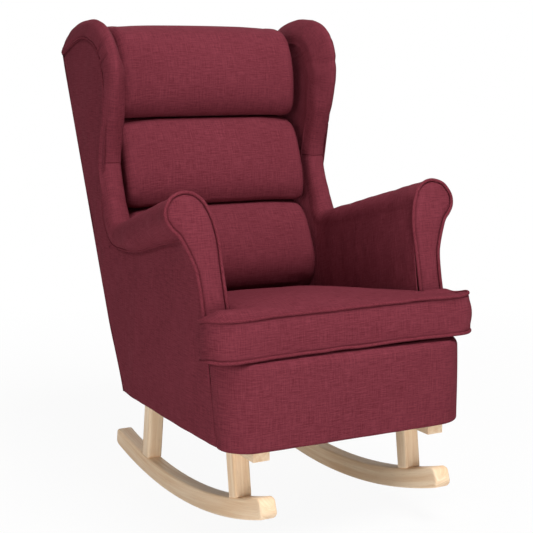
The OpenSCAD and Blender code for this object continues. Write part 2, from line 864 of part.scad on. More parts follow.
// The wing board stands in front of the back post, and the arm's board butts on its lower edge
module wing_board(side) {
    color(timber) lifted() on_side(side) slab(board_in, board_out) intersection() {
        inside_wing(wing_edge_t);
        ahead_of_back(frame_front_n);
        above_arm(-arm_board_t);
        polygon([
            [facing_y(-far, roll_end_u), -far], [far, -far], [far, far], [facing_y(far, roll_end_u), far]
        ]);
    }
}

module wing_pad(side) {
    color(fabric) lifted() on_side(side) difference() {
        slab(wing_in, side_out + wing_overhang) intersection() {
            inside_wing(0);
            ahead_of_back(frame_rear_n);
            above_arm(roll_r + soft_gap);
        }
        slab(board_in - soft_gap, board_out + soft_gap) inside_wing(wing_edge_t - soft_gap);
        slab(board_out, far) inside_wing(wing_roll_w - soft_gap);
        on_back() translate([0, -frame_front_n - soft_gap, -far])
            cube([board_in, frame_front_n + soft_gap, far + back_top + soft_gap]);
    }
}

// Outer panel of one side, from the seat body's underside up to the roll and the wing's welt
module side_panel(side) {
    color(fabric) lifted() on_side(side) difference() {
        slab(side_panel_in, side_out) intersection() {
            ahead_of_back(frame_rear_n);
            union() {
                polygon([
                    [side_seam_y, 0], [facing_y(front_panel_h), front_panel_h],
                    [facing_y(front_panel_h, arm_body_u), front_panel_h],
                    [facing_y(arm_front_h, arm_body_u), arm_front_h],
                    [facing_y(arm_h(wing_edge[0][0]), roll_end_u), arm_h(wing_edge[0][0])], [far, 0]
                ]);
                inside_wing(wing_roll_w);
            }
        }
        intersection() {
            roll(soft_gap);
            along_arm(0, roll_end_u + soft_gap) translate([0, -far]) square([far, 2 * far]);
        }
        translate([0, -far, -far]) cube([far, 2 * far, far]);
    }
}

module back_panel() {
    color(fabric) lifted() on_back() translate([-side_out, -back_panel_t, 0])
        cube([2 * side_out, back_panel_t, back_l]);
}

module base_front_panel() {
    seam = [[side_seam_y - soft_gap, 0], [facing_y(front_panel_h) - soft_gap, front_panel_h]];
    color(fabric) lifted() intersection() {
        linear_extrude(height = front_panel_h) difference() {
            rounded_plan(side_out, base_front_y, 0, base_corner_r, hidden_r);
            rounded_plan(side_out - front_panel_t, base_front_y + front_panel_t, far, inner_corner_r, hidden_r);
        }
        slab(-side_out, side_out) polygon(concat([[-far, 0]], seam, [[-far, front_panel_h]]));
    }
}

// One bolster: a smooth front between two creases, and its rear on the webbing
module bolster(half_w, front, over_top) {
    color(fabric) lifted() difference() {
        slab(-half_w, half_w) intersection() {
            polygon(concat([[far, front[0][1]]], smooth(front, 4), [[far, front[len(front) - 1][1]]]));
            ahead_of_back(over_top ? frame_rear_n : bolster_n);
        }
        if (over_top) on_back() translate([-far, -bolster_n, -far])
            cube([2 * far, bolster_n, far + back_top + soft_gap]);
    }
}

module bolster_lower() {
    bolster(arm_in - soft_gap, drawn([
        [0, 0], [0, 0.316], [0.079, 0.512], [0.289, 0.7], [0.526, 0.869], [0.816, 0.962], [1, 1]
    ], [bolster_foot_y, deck_top_h + soft_gap], [crease_low_y, crease_low_h - crease_gap]), false);
}

module bolster_middle() {
    bolster(wing_in - soft_gap, drawn([
        [0, 0], [-0.28, 0.056], [-0.4, 0.207], [-0.2, 0.46], [0.16, 0.742], [0.6, 0.934], [1, 1]
    ], [crease_low_y, crease_low_h + crease_gap], [crease_high_y, crease_high_h - crease_gap]), false);
}

module bolster_upper() {
    bolster(wing_in - soft_gap, drawn([
        [0, 0], [-0.097, 0.062], [-0.137, 0.257], [-0.123, 0.519], [-0.07, 0.748], [0.035, 0.914],
        [0.22, 0.99], [0.573, 1], [0.824, 0.924], [1, 0.81]
    ], [crease_high_y, crease_high_h + crease_gap], [back_edge_y, back_top_h]), true);
}

/* Seat cushion */

ear_rear_y = facing_y(deck_top_h) - cushion_gap;
neck_x = arm_in - piping_out - cushion_gap;
border_top_h = cushion_h + cushion_border_h;

// The T shape: ears in front of the arms and a neck between them
module cushion_plan(grow) {
    rounded_plan(cushion_ear_x + grow, cushion_front_y - grow, ear_rear_y + min(grow, 0),
        cushion_corner_r + grow, cushion_rear_r / 2);
    rounded_plan(neck_x + min(grow, 0), cushion_front_y + cushion_corner_r, cushion_rear_y + min(grow, 0),
        cushion_rear_r, cushion_rear_r);
}

// Cylinder across the chair, or along it, whose top gives the cushion its crown
module crown_cylinder(half, across) {
    r = (half * half + cushion_crown * cushion_crown) / (2 * cushion_crown);
    translate([0, 0, border_top_h + cushion_crown - r]) rotate(across ? [0, 90, 0] : [90, 0, 0])
        cylinder(r = r, h = 2 * far, center = true, $fn = arc_fn);
}

module cushion_body() {
    middle_y = (cushion_front_y + cushion_rear_y) / 2;
    intersection() {
        translate([0, 0, cushion_h]) linear_extrude(height = cushion_border_h + cushion_crown) cushion_plan(0);
        translate([0, middle_y, 0]) crown_cylinder((cushion_rear_y - cushion_front_y) / 2, true);
        crown_cylinder(cushion_ear_x, false);
    }
}

module zip_strip(grow) {
    translate([-zip_l / 2 - grow, cushion_rear_y - zip_t - grow, cushion_h + (cushion_border_h - zip_w) / 2 - grow])
        cube([zip_l + 2 * grow, zip_t + 2 * grow, zip_w + 2 * grow]);
}

module seat_cushion() {
    color(fabric) lifted() difference() {
        cushion_body();
        zip_strip(hole_clearance);
    }
}

module cushion_zip() {
    color("maroon") lifted() zip_strip(0);
}

// The piping runs round the ears and their front, and dies out where the neck meets the arms
module cushion_piping(h) {
    color(fabric) lifted() translate([0, 0, h]) linear_extrude(height = piping_w) difference() {
        cushion_plan(piping_out);
        cushion_plan(hole_clearance);
        translate([-far, ear_rear_y - cushion_rear_r]) square([2 * far, far]);
    }
}

module cushion_piping_top() { cushion_piping(border_top_h - piping_w); }

module cushion_piping_bottom() { cushion_piping(cushion_h); }

rocker("left");  // rocker_left
rocker("right");  // rocker_right
leg("left", front_leg_y, -front_leg_lean);  // front_leg_left
leg("right", front_leg_y, -front_leg_lean);  // front_leg_right
leg("left", rear_leg_y, rear_leg_lean);  // rear_leg_left
leg("right", rear_leg_y, rear_leg_lean);  // rear_leg_right
top_rail("left");  // top_rail_left
top_rail("right");  // top_rail_right
leg_dowels();
leg_screws();
rail_screws();
base_bolts();
bolt_washers();
insert_nuts();
seat_front_rail();
seat_rear_rail();
seat_side_rail("left");  // seat_side_rail_left
seat_side_rail("right");  // seat_side_rail_right
runner("left");  // runner_left
runner("right");  // runner_right
corner_blocks();
frame_screws();
seat_springs();
spring_clips();
seat_deck();
dust_cover();
arm_post("left");  // arm_post_left
arm_post("right");  // arm_post_right
arm_board("left");  // arm_board_left
arm_board("right");  // arm_board_right
back_post("left");  // back_post_left
back_post("right");  // back_post_right
back_lower_rail();
back_middle_rail();
back_upper_rail();
back_webbing();
wing_board("left");  // wing_board_left
wing_board("right");  // wing_board_right
base_front_panel();
side_panel("left");  // side_panel_left
side_panel("right");  // side_panel_right
back_panel();
arm_pad("left");  // arm_pad_left
arm_pad("right");  // arm_pad_right
arm_facing("left");  // arm_facing_left
arm_facing("right");  // arm_facing_right
facing_piping("left");  // facing_piping_left
facing_piping("right");  // facing_piping_right
wing_pad("left");  // wing_pad_left
wing_pad("right");  // wing_pad_right
bolster_lower();
bolster_middle();
bolster_upper();
seat_cushion();
cushion_piping_top();
cushion_piping_bottom();
cushion_zip();
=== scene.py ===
"""Looks of a wing-back rocking armchair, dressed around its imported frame.

Metres, +Z up, the sitter looks towards -Y and the sitter's left hand is at +X. Every cover, cushion and cord
is a surface worked out on a grid of two parameters; the bolsters and the loose cushion are then swelled by a
short cloth simulation.
"""

import sys

import logging
import math
from collections.abc import Callable
from dataclasses import dataclass
from enum import Enum

import bmesh
import bpy
import numpy as np
from mathutils import Matrix, Vector


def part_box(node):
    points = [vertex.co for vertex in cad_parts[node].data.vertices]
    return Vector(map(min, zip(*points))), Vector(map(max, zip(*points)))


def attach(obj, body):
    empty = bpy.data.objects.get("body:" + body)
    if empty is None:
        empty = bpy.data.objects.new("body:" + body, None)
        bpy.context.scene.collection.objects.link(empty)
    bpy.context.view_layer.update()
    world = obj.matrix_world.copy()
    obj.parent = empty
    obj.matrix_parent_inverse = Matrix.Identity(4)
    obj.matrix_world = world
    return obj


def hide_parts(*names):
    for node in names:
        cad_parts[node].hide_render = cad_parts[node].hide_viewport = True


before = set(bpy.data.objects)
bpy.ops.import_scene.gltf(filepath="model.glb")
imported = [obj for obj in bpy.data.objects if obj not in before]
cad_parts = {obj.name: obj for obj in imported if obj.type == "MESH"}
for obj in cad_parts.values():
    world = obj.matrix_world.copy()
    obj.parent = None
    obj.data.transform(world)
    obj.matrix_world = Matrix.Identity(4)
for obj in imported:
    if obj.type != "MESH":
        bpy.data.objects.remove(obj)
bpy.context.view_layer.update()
log = logging.getLogger("armchair")

Array = np.ndarray
Piece = bpy.types.Object
Material = bpy.types.Material
Colour = tuple[float, float, float]
Socket = bpy.types.NodeSocket
Value = Socket | float

PADDED_COVER = 0.0015  # thickness of the cloth drawn over padding
PANEL_COVER = 0.0012  # thickness of the cloth drawn over a plain panel
BOARD_EDGE = 0.002  # rounding of a hidden board's long edges
ACROSS = np.array([1.0, 0.0, 0.0])  # the direction across the chair
THREAD_PITCH = 0.0018  # distance from one thread of the weave to the next but one


class Side(Enum):
    """The sitter's left or right hand."""

    LEFT = 1
    RIGHT = -1

    @property
    def word(self) -> str:
        """The side's name, as the nodes spell it."""
        return self.name.lower()


class Body(Enum):
    """The frame's two rigid bodies."""

    CHAIR = "chair"
    CUSHION = "cushion"


# ---- curves and grids


def spline(points: list, per: int = 12) -> Array:
    """A smooth curve through points: on each stretch a cubic whose ends follow the neighbouring points.

    Args:
        points: Control points, one row each.
        per: Steps between two control points.

    Returns:
        The curve's points, one row each.
    """
    p = np.asarray(points, float)
    ends = np.vstack([2 * p[0] - p[1], p, 2 * p[-1] - p[-2]])
    t = (np.arange(per) / per)[None, :, None]
    a, b, c, d = (ends[i:len(p) - 1 + i, None, :] for i in range(4))
    body = 0.5 * (2 * b + (c - a) * t + (2 * a - 5 * b + 4 * c - d) * t**2 + (3 * b - a - 3 * c + d) * t**3)
    return np.vstack([body.reshape(-1, p.shape[1]), p[-1]])


def lengths(points: Array) -> Array:
    """Distance along a curve at each of its points."""
    return np.concatenate([[0.0], np.cumsum(np.linalg.norm(np.diff(points, axis=0), axis=1))])


def even(points: Array, count: int) -> Array:
    """The same curve with count points at even distances."""
    s = lengths(points)
    at = np.linspace(0, s[-1], count)
    return np.stack([np.interp(at, s, points[:, k]) for k in range(points.shape[1])], axis=1)


def unit(v: Array) -> Array:
    """Vectors of length one in the same directions."""
    return v / np.maximum(np.linalg.norm(v, axis=-1, keepdims=True), 1e-12)


def stacked(*parts: Array | float) -> Array:
    """Coordinates side by side: arrays and numbers brought to one shape and stacked on a new last axis."""
    return np.stack(np.broadcast_arrays(*parts), axis=-1)


def heading(line: Array, closed: bool = False) -> Array:
    """Unit directions along a line: at each point, from the one before it to the one after it.

    Args:
        line: The line's points; the last point of a closed line is its first.
        closed: Whether the line is closed.

    Returns:
        One direction for each point.
    """
    if not closed:
        return unit(np.gradient(line, axis=0))
    ahead = np.roll(line[:-1], -1, 0) - np.roll(line[:-1], 1, 0)
    return unit(np.vstack([ahead, ahead[:1]]))


def outward(line: Array, closed: bool = False) -> Array:
    """Unit directions across a flat line, away from its middle: the headings turned by a quarter."""
    along = heading(line, closed)
    out = stacked(along[:, 1], -along[:, 0])
    return out if ((line - line.mean(0)) * out).sum() > 0 else -out


def ease(t: Array) -> Array:
    """Smooth step: 0 below 0, 1 above 1, and 3t^2 - 2t^3 between."""
    t = np.clip(t, 0, 1)
    return t * t * (3 - 2 * t)


def waves(x: Array, seed: int, longest: float, count: int = 5) -> Array:
    """A gentle irregular wave of about unit size: a sum of sines, each shorter and lower than the last.

    Args:
        x: Places along the wave.
        seed: Chooses the phases of the sines.
        longest: Length of the longest sine.
        count: Number of sines.

    Returns:
        The height at each place.
    """
    rng = np.random.RandomState(seed)
    total = np.zeros_like(x)
    for k in range(count):
        phase = rng.uniform(0, 2 * np.pi)
        total += np.sin(2 * np.pi * x * (1 + 0.73 * k) / longest + phase) / (1 + 0.6 * k)
    return total / 1.8


def distance_to(points: Array, line: Array, block: int = 64) -> Array:
    """Shortest distance from each point to a line of points.

    Args:
        points: Places, in an array of any shape.
        line: The line's points, one row each.
        block: How many of the line's points are worked out at a time.

    Returns:
        One distance for each place.
    """
    flat = points.reshape(-1, points.shape[-1])
    best = np.full(len(flat), 1e9)
    for start in range(0, len(line), block):
        part = line[start:start + block]
        best = np.minimum(best, np.sqrt(((flat[:, None, :] - part[None]) ** 2).sum(-1)).min(1))
    return best.reshape(points.shape[:-1])


def run_lengths(points: Array, axis: int) -> Array:
    """Distance along one direction of a grid, from its first row or column."""
    step = np.linalg.norm(np.diff(points, axis=axis), axis=-1)
    pad = [(1, 0), (0, 0)] if axis == 0 else [(0, 0), (1, 0)]
    return np.pad(np.cumsum(step, axis=axis), pad)


def link(obj: Piece) -> Piece:
    """Puts an object in the scene."""
    bpy.context.scene.collection.objects.link(obj)
    return obj


def grid_object(name: str, points: Array, uv: Array | None = None,
                side: Side = Side.LEFT) -> Piece:
    """A mesh from a grid of points: each cell is a face, and rows that meet are joined.

    Args:
        name: The piece's name.
        points: Grid of points, rows by columns by 3, drawn for the left side.
        uv: Flat cloth coordinates of the grid in metres; by default the distances along its rows and columns.
        side: The right side is the mirror image.

    Returns:
        The new object.
    """
    rows, columns = points.shape[:2]
    if uv is None:
        uv = stacked(run_lengths(points, 1), run_lengths(points, 0))
    co = points.reshape(-1, 3) * [side.value, 1, 1]
    at = np.arange(rows * columns).reshape(rows, columns)
    quads = stacked(at[:-1, :-1], at[:-1, 1:], at[1:, 1:], at[1:, :-1]).reshape(-1, 4)
    mesh = bpy.data.meshes.new(name)
    mesh.from_pydata(co, [], quads.tolist())
    layer = mesh.uv_layers.new(name="cloth")
    layer.data.foreach_set("uv", uv.reshape(-1, 2)[quads.ravel()].astype(np.float32).ravel())
    obj = link(bpy.data.objects.new(name, mesh))
    tidy(obj, 1e-5)
    return obj


def tidy(obj: Piece, reach: float) -> None:
    """Joins points that coincide, drops faces without area and turns all faces outwards.

    Args:
        obj: The object.
        reach: How near to each other points are joined.
    """
    bm = bmesh.new()
    bm.from_mesh(obj.data)
    bmesh.ops.remove_doubles(bm, verts=bm.verts, dist=reach)
    bmesh.ops.dissolve_degenerate(bm, edges=bm.edges, dist=reach / 10)
    bmesh.ops.recalc_face_normals(bm, faces=bm.faces)
    bm.to_mesh(obj.data)
    bm.free()
    obj.data.shade_smooth()


def vectors(items: bpy.types.bpy_prop_collection, name: str) -> Array:
    """A vector of three from each of a mesh's items, one row each."""
    values = np.empty(len(items) * 3, np.float32)
    items.foreach_get(name, values)
    return values.reshape(-1, 3).astype(float)


def face_towards(obj: Piece, point: tuple[float, float, float]) -> None:
    """Turns an open cover's faces so that they look away from a point inside the chair."""
    faces = obj.data.polygons
    if ((vectors(faces, "center") - point) * vectors(faces, "normal")).sum() < 0:
        obj.data.flip_normals()


def tube(name: str, path: Array, normal: Array, radius: float, ring: int = 12,
         side: Side = Side.LEFT) -> Piece:
    """A round cord: a circle carried along a path, in the plane across it, and closed at both ends.

    Args:
        name: The piece's name.
        path: Points of the cord's middle line.
        normal: A direction that is never along the path; one row, or one for each point.
        radius: The cord's radius.
        ring: Points around the cord.
        side: The right side is the mirror image.

    Returns:
        The new object.
    """
    along = heading(path)
    across = unit(np.cross(along, np.broadcast_to(normal, path.shape)))
    up = np.cross(across, along)
    angle = np.linspace(0, 2 * np.pi, ring + 1)
    points = path[:, None] + radius * (across[:, None] * np.cos(angle)[None, :, None]
                                       + up[:, None] * np.sin(angle)[None, :, None])
    points = np.concatenate([np.broadcast_to(path[:1, None], points[:1].shape), points,
                             np.broadcast_to(path[-1:, None], points[:1].shape)])
    uv = stacked(angle[None] * radius, lengths(points.mean(1))[:, None])
    return grid_object(name, points, uv, side)


# ---- finishing pieces


def thicken(obj: Piece, thickness: float) -> None:
    """Gives an open cover a thickness, inwards from its outer face.

    Args:
        obj: The open cover.
        thickness: The thickness.
    """
    solid = obj.modifiers.new("thickness", "SOLIDIFY")
    solid.thickness = thickness
    solid.offset = -1
    solid.use_rim = True
    apply_modifiers(obj)


def apply_modifiers(obj: Piece) -> None:
    """Makes an object's modifiers part of its mesh.

    Args:
        obj: The object.
    """
    graph = bpy.context.evaluated_depsgraph_get()
    mesh = bpy.data.meshes.new_from_object(obj.evaluated_get(graph), preserve_all_data_layers=True,
                                           depsgraph=graph)
    old = obj.data
    obj.modifiers.clear()
    obj.data = mesh
    bpy.data.meshes.remove(old)


def coordinates(obj: Piece) -> Array:
    """An object's points, one row each."""
    return vectors(obj.data.vertices, "co")


def set_coordinates(obj: Piece, co: Array) -> None:
    """Moves an object's points."""
    obj.data.vertices.foreach_set("co", co.astype(np.float32).ravel())
    obj.data.update()


@dataclass(frozen=True)
class Swell:
    """How a padded piece is blown up: the simulated copy's voxels, its cloth, and the longest move kept."""

    voxel: float = 0.007
    pressure: float = 4.0
    cap: float = 0.010
    frames: int = 16
    stiffness: float = 15.0
    inset: float = 0.004
    bending: float = 0.6
    mass: float = 0.4
    quality: int = 5

    def run(self, obj: Piece, held: Callable[[Array], Array]) -> None:
        """Swells a closed piece by a cloth simulation on a remeshed copy, and carries the copy's moves back.

        Args:
            obj: The closed piece.
            held: Function from points to how firmly each is held, from 0 to 1.
        """
        scene = bpy.context.scene
        copy = link(bpy.data.objects.new(obj.name + ".swell", obj.data.copy()))
        remesh = copy.modifiers.new("even", "REMESH")
        remesh.mode, remesh.voxel_size = "VOXEL", self.voxel
        apply_modifiers(copy)
        rest, normals = coordinates(copy), vectors(copy.data.vertices, "normal")
        hold = np.clip(held(rest), 0, 1)
        set_coordinates(copy, rest - normals * (self.inset * (1 - hold))[:, None])
        group = copy.vertex_groups.new(name="held")
        for level in np.unique(np.round(hold, 1)):
            members = np.nonzero(np.round(hold, 1) == level)[0].tolist()
            group.add(members, float(level), "REPLACE")
        cloth = copy.modifiers.new("cloth", "CLOTH")
        settings = cloth.settings
        settings.use_pressure = True
        settings.uniform_pressure_force = self.pressure
        settings.effector_weights.gravity = 0
        settings.quality = self.quality
        settings.mass = self.mass
        settings.tension_stiffness = settings.compression_stiffness = self.stiffness
        settings.shear_stiffness = self.stiffness
        settings.bending_stiffness = self.bending
        settings.vertex_group_mass = "held"
        settings.pin_stiffness = 1.0
        cloth.collision_settings.use_collision = False
        cloth.collision_settings.use_self_collision = False
        cloth.point_cache.frame_start, cloth.point_cache.frame_end = 1, self.frames
        for number in range(1, self.frames + 1):
            scene.frame_set(number)
        graph = bpy.context.evaluated_depsgraph_get()
        move = vectors(copy.evaluated_get(graph).to_mesh().vertices, "co") - rest
        size = np.linalg.norm(move, axis=1, keepdims=True)
        move *= np.minimum(1, self.cap / np.maximum(size, 1e-9))
        copy.evaluated_get(graph).to_mesh_clear()
        scene.frame_set(1)
        bpy.data.objects.remove(copy)
        set_coordinates(obj, coordinates(obj) + carried(coordinates(obj), rest, move))


def carried(points: Array, known: Array, moves: Array, near: int = 5, block: int = 800) -> Array:
    """Moves at points, from those at known places: the mean over the nearest places, weighted by nearness.

    Args:
        points: Where the moves are wanted.
        known: Places whose moves are known.
        moves: The moves there.
        near: How many places are averaged.
        block: Points worked out at a time.

    Returns:
        One move for each point.
    """
    found = np.empty_like(points)
    small = known.astype(np.float32)
    squares = (small**2).sum(1)
    for start in range(0, len(points), block):
        part = points[start:start + block].astype(np.float32)
        apart = (part**2).sum(1)[:, None] + squares[None] - 2 * part @ small.T
        index = np.argpartition(apart, near, axis=1)[:, :near]
        weight = 1 / (np.sqrt(np.maximum(np.take_along_axis(apart, index, 1), 0)) + 1e-3) ** 2
        found[start:start + block] = (moves[index] * weight[..., None]).sum(1) / weight.sum(1)[:, None]
    return found


@dataclass(frozen=True)
class Fit:
    """Where a finished piece belongs: its body, material slot, the nodes it stands for, and its filling."""

    body: Body
    slot: str
    nodes: tuple[str, ...] = ()
    fill: float | None = None

    def apply(self, obj: Piece, material: Material) -> None:
        """Dresses a piece and ties it to the frame.

        Args:
            obj: The finished piece.
            material: Its material.
        """
        obj.data.materials.clear()
        obj.data.materials.append(material)
        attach(obj, self.body.value)
        if self.nodes:
            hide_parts(*self.nodes)
        log.info("%s: %d faces, on %s", obj.name, len(obj.data.polygons), self.body.value)


# ---- materials


class Wiring:
    """Adds nodes to one node tree and joins them."""

    def __init__(self, tree: bpy.types.NodeTree) -> None:
        """Starts on an empty tree."""
        self.tree = tree
        tree.nodes.clear()

    def add(self, kind: str, inputs: dict | None = None, **settings) -> bpy.types.Node:
        """A new node.

        Args:
            kind: The node's type, without its "ShaderNode" beginning.
            inputs: Values or sockets for its inputs, by name or number.
            **settings: Its other settings.

        Returns:
            The node.
        """
        node = self.tree.nodes.new(kind if kind.startswith("Node") else "ShaderNode" + kind)
        for name, value in settings.items():
            setattr(node, name, value)
        for name, value in (inputs or {}).items():
            if isinstance(value, Socket):
                self.tree.links.new(value, node.inputs[name])
            else:
                node.inputs[name].default_value = value
        return node

    def sum(self, total: Value, *others: Value) -> Socket:
        """The sum of sockets and numbers."""
        for other in others:
            total = self.maths("ADD", total, other)
        return total

    def maths(self, operation: str, a: Value, b: Value = 0.0, c: Value = 0.0, clamp: bool = False) -> Socket:
        """One operation on two or three values."""
        return self.add("Math", {0: a, 1: b, 2: c}, operation=operation, use_clamp=clamp).outputs[0]

    def weighted(self, *terms: tuple[Value, float]) -> Socket:
        """The sum of values, each times its weight."""
        return self.sum(*(self.maths("MULTIPLY", value, weight) for value, weight in terms))

    def place(self, flat: bool) -> Socket:
        """The place on a piece: its own flat cloth coordinates, or its object coordinates."""
        node = self.add("UVMap", uv_map="cloth") if flat else self.add("TexCoord")
        return node.outputs["UV" if flat else "Object"]

    def noise(self, vector: Socket, scale: tuple[float, float, float], detail: float = 2.0,
              roughness: float = 0.55) -> Socket:
        """Noise from 0 to 1, with its own scale along each axis."""
        place = self.add("Mapping", {"Vector": vector, "Scale": scale})
        return self.add("TexNoise", {"Vector": place.outputs[0], "Scale": 1.0, "Detail": detail,
                                     "Roughness": roughness}).outputs[0]

    def ramp(self, value: Socket, low: float, high: float) -> Socket:
        """A value stretched so that low becomes 0 and high becomes 1."""
        return self.add("MapRange", {0: value, 1: low, 2: high, 3: 0.0, 4: 1.0}).outputs[0]

    def blend(self, factor: Socket, dark: Colour, light: Colour) -> Socket:
        """A colour between two colours."""
        return self.add("Mix", {0: factor, 6: (*dark, 1.0), 7: (*light, 1.0)}, data_type="RGBA").outputs[2]


def group(name: str, outputs: tuple[str, ...],
          draw: Callable[[Wiring, Socket], tuple[Socket, ...]]) -> bpy.types.NodeTree:
    """A shared effect: a node group that takes a place on the surface and puts out plain values.

    Args:
        name: The group's name.
        outputs: Names of the values it puts out.
        draw: Function that wires it, from its wiring and the place's socket to one socket for each output.

    Returns:
        The node group.
    """
    tree = bpy.data.node_groups.new(name, "ShaderNodeTree")
    tree.interface.new_socket("Vector", in_out="INPUT", socket_type="NodeSocketVector")
    for word in outputs:
        tree.interface.new_socket(word, in_out="OUTPUT", socket_type="NodeSocketFloat")
    wiring = Wiring(tree)
    start = wiring.add("NodeGroupInput")
    end = wiring.add("NodeGroupOutput")
    for word, socket in zip(outputs, draw(wiring, start.outputs["Vector"])):
        tree.links.new(socket, end.inputs[word])
    return tree


def draw_slub_weave(wiring: Wiring, at: Socket) -> tuple[Socket, Socket]:
    """Plain weave of uneven yarns: long thin noise along each thread direction, and crossing thread ripples.

    The tone is the sum of weft streaks, warp streaks, single yarns and a slow cloud. The height is a ripple,
    the product of two sines, with the streaks' thick places on top.

    Args:
        wiring: The group's wiring.
        at: The place on the cloth, in metres.

    Returns:
        The tone and the height.
    """
    weft = wiring.noise(at, (34.0, 520.0, 1.0), 2.0, 0.6)
    warp = wiring.noise(at, (560.0, 28.0, 1.0), 2.0, 0.6)
    yarns = wiring.noise(at, (160.0, 1500.0, 1.0), 1.0)
    cloud = wiring.noise(at, (7.0, 9.0, 1.0), 2.0)
    xyz = wiring.add("SeparateXYZ", {0: at})
    turns = 2 * math.pi / THREAD_PITCH
    ripple = wiring.maths("MULTIPLY", *(wiring.maths("SINE", wiring.maths("MULTIPLY", xyz.outputs[k], turns))
                                        for k in (0, 1)))
    tone = wiring.weighted(*((wiring.maths("SUBTRACT", socket, 0.5), share) for socket, share in (
        (weft, 1.15), (warp, 0.85), (yarns, 0.7), (cloud, 0.3))))
    height = wiring.weighted((ripple, 0.25), (weft, 0.6), (warp, 0.4))
    return wiring.maths("ADD", tone, 0.5, clamp=True), height


def draw_timber_grain(wiring: Wiring, at: Socket) -> tuple[Socket, Socket]:
    """Straight-grained timber: noise drawn out along Y, bent by a slower noise, with short dark pores on top.

    Args:
        wiring: The group's wiring.
        at: The place in the timber, in metres.

    Returns:
        The tone and the pores.
    """
    bend = wiring.noise(at, (6.0, 1.6, 6.0), 1.0)
    shift = wiring.add("CombineXYZ", {0: wiring.maths("MULTIPLY", bend, 0.05)})
    bent = wiring.add("VectorMath", {0: at, 1: shift.outputs[0]}, operation="ADD").outputs[0]
    rings = wiring.noise(bent, (95.0, 3.0, 95.0), 4.0, 0.62)
    fibres = wiring.noise(bent, (700.0, 14.0, 700.0), 2.0)
    pores = wiring.ramp(wiring.noise(at, (1100.0, 45.0, 1100.0), 1.0), 0.66, 0.74)
    patches = wiring.noise(at, (16.0, 4.0, 16.0), 1.0)
    tone = wiring.weighted((rings, 0.75), (fibres, 0.20), (patches, 0.22))
    return wiring.ramp(tone, 0.44, 0.72), pores


def draw_worn_metal(wiring: Wiring, at: Socket) -> tuple[Socket, Socket]:
    """Plated metal: a fine grain and slow cloudy stains."""
    grain = wiring.noise(at, (900.0, 900.0, 900.0), 3.0)
    return grain, wiring.ramp(wiring.noise(at, (60.0, 60.0, 60.0), 4.0), 0.4, 0.7)


SLUB_WEAVE = group("slub weave", ("Tone", "Height"), draw_slub_weave)
TIMBER_GRAIN = group("timber grain", ("Tone", "Pores"), draw_timber_grain)
WORN_METAL = group("worn metal", ("Grain", "Stain"), draw_worn_metal)


def new_material(name: str) -> tuple[Material, Wiring]:
    """An empty material and the wiring of its tree."""
    material = bpy.data.materials.new(name)
    material.use_nodes = True
    return material, Wiring(material.node_tree)


def shade(wiring: Wiring, colour: Socket, roughness: Socket, height: Socket, depth: float,
          constants: dict[str, float]) -> None:
    """Ends a material: a Principled shader with a bump.

    Args:
        wiring: The material's wiring.
        colour: Socket of the colour.
        roughness: Socket of the roughness.
        height: Socket of the height, from 0 to 1.
        depth: How deep a height of 1 is, in metres.
        constants: Values that are the same all over the surface, by the shader's input names.
    """
    bump = wiring.add("Bump", {"Height": height, "Distance": depth, "Strength": 1.0})
    inputs = {"Base Color": colour, "Roughness": roughness, "Normal": bump.outputs[0], **constants}
    shader = wiring.add("BsdfPrincipled", inputs)
    wiring.add("OutputMaterial", {"Surface": shader.outputs[0]})


@dataclass(frozen=True)
class Cloth:
    """A woven cloth: its darkest and lightest yarns, its roughness, and the depth and turn of its weave."""

    name: str
    dark: Colour
    light: Colour
    roughness: float = 0.88
    depth: float = 0.0006
    turned: float = 0.0
    on_object: bool = False

    def make(self) -> Material:
        """The cloth's material: its threads follow the piece's cloth coordinates, or else its place.

        Returns:
            The material.
        """
        material, wiring = new_material(self.name)
        turned = wiring.add("Mapping", {"Vector": wiring.place(not self.on_object),
                                        "Rotation": (0.0, 0.0, self.turned)})
        weave = wiring.add("Group", {"Vector": turned.outputs[0]}, node_tree=SLUB_WEAVE)
        colour = wiring.blend(weave.outputs["Tone"], self.dark, self.light)
        rough = wiring.maths("MULTIPLY_ADD", weave.outputs["Tone"], -0.08, self.roughness + 0.04)
        shade(wiring, colour, rough, weave.outputs["Height"], self.depth, {"Specular IOR Level": 0.02})
        return material


@dataclass(frozen=True)
class Timber:
    """A sanded timber: its dark and light grain, its roughness and the way its grain runs."""

    name: str
    dark: Colour
    light: Colour
    roughness: float
    turn: tuple[float, float, float] | None = None
    offset: tuple[float, float, float] = (0.0, 0.0, 0.0)

    def make(self) -> Material:
        """The timber's material: the grain follows a shaped piece's length, and runs one way on a board.

        Returns:
            The material.
        """
        material, wiring = new_material(self.name)
        turned = wiring.add("Mapping", {"Vector": wiring.place(self.turn is None),
                                        "Rotation": self.turn or (0.0, 0.0, 0.0), "Location": self.offset})
        grain = wiring.add("Group", {"Vector": turned.outputs[0]}, node_tree=TIMBER_GRAIN)
        tone, pores = grain.outputs["Tone"], grain.outputs["Pores"]
        pore_colour = (*(0.55 * c for c in self.dark), 1.0)
        colour = wiring.add("Mix", {0: wiring.maths("MULTIPLY", pores, 0.35), 6: wiring.blend(
            tone, self.dark, self.light), 7: pore_colour}, data_type="RGBA").outputs[2]
        rough = wiring.maths("MULTIPLY_ADD", tone, -0.1, self.roughness + 0.05)
        shade(wiring, colour, rough, wiring.weighted((tone, 0.5), (pores, -0.5)), 0.00025,
              {"Specular IOR Level": 0.06})
        return material


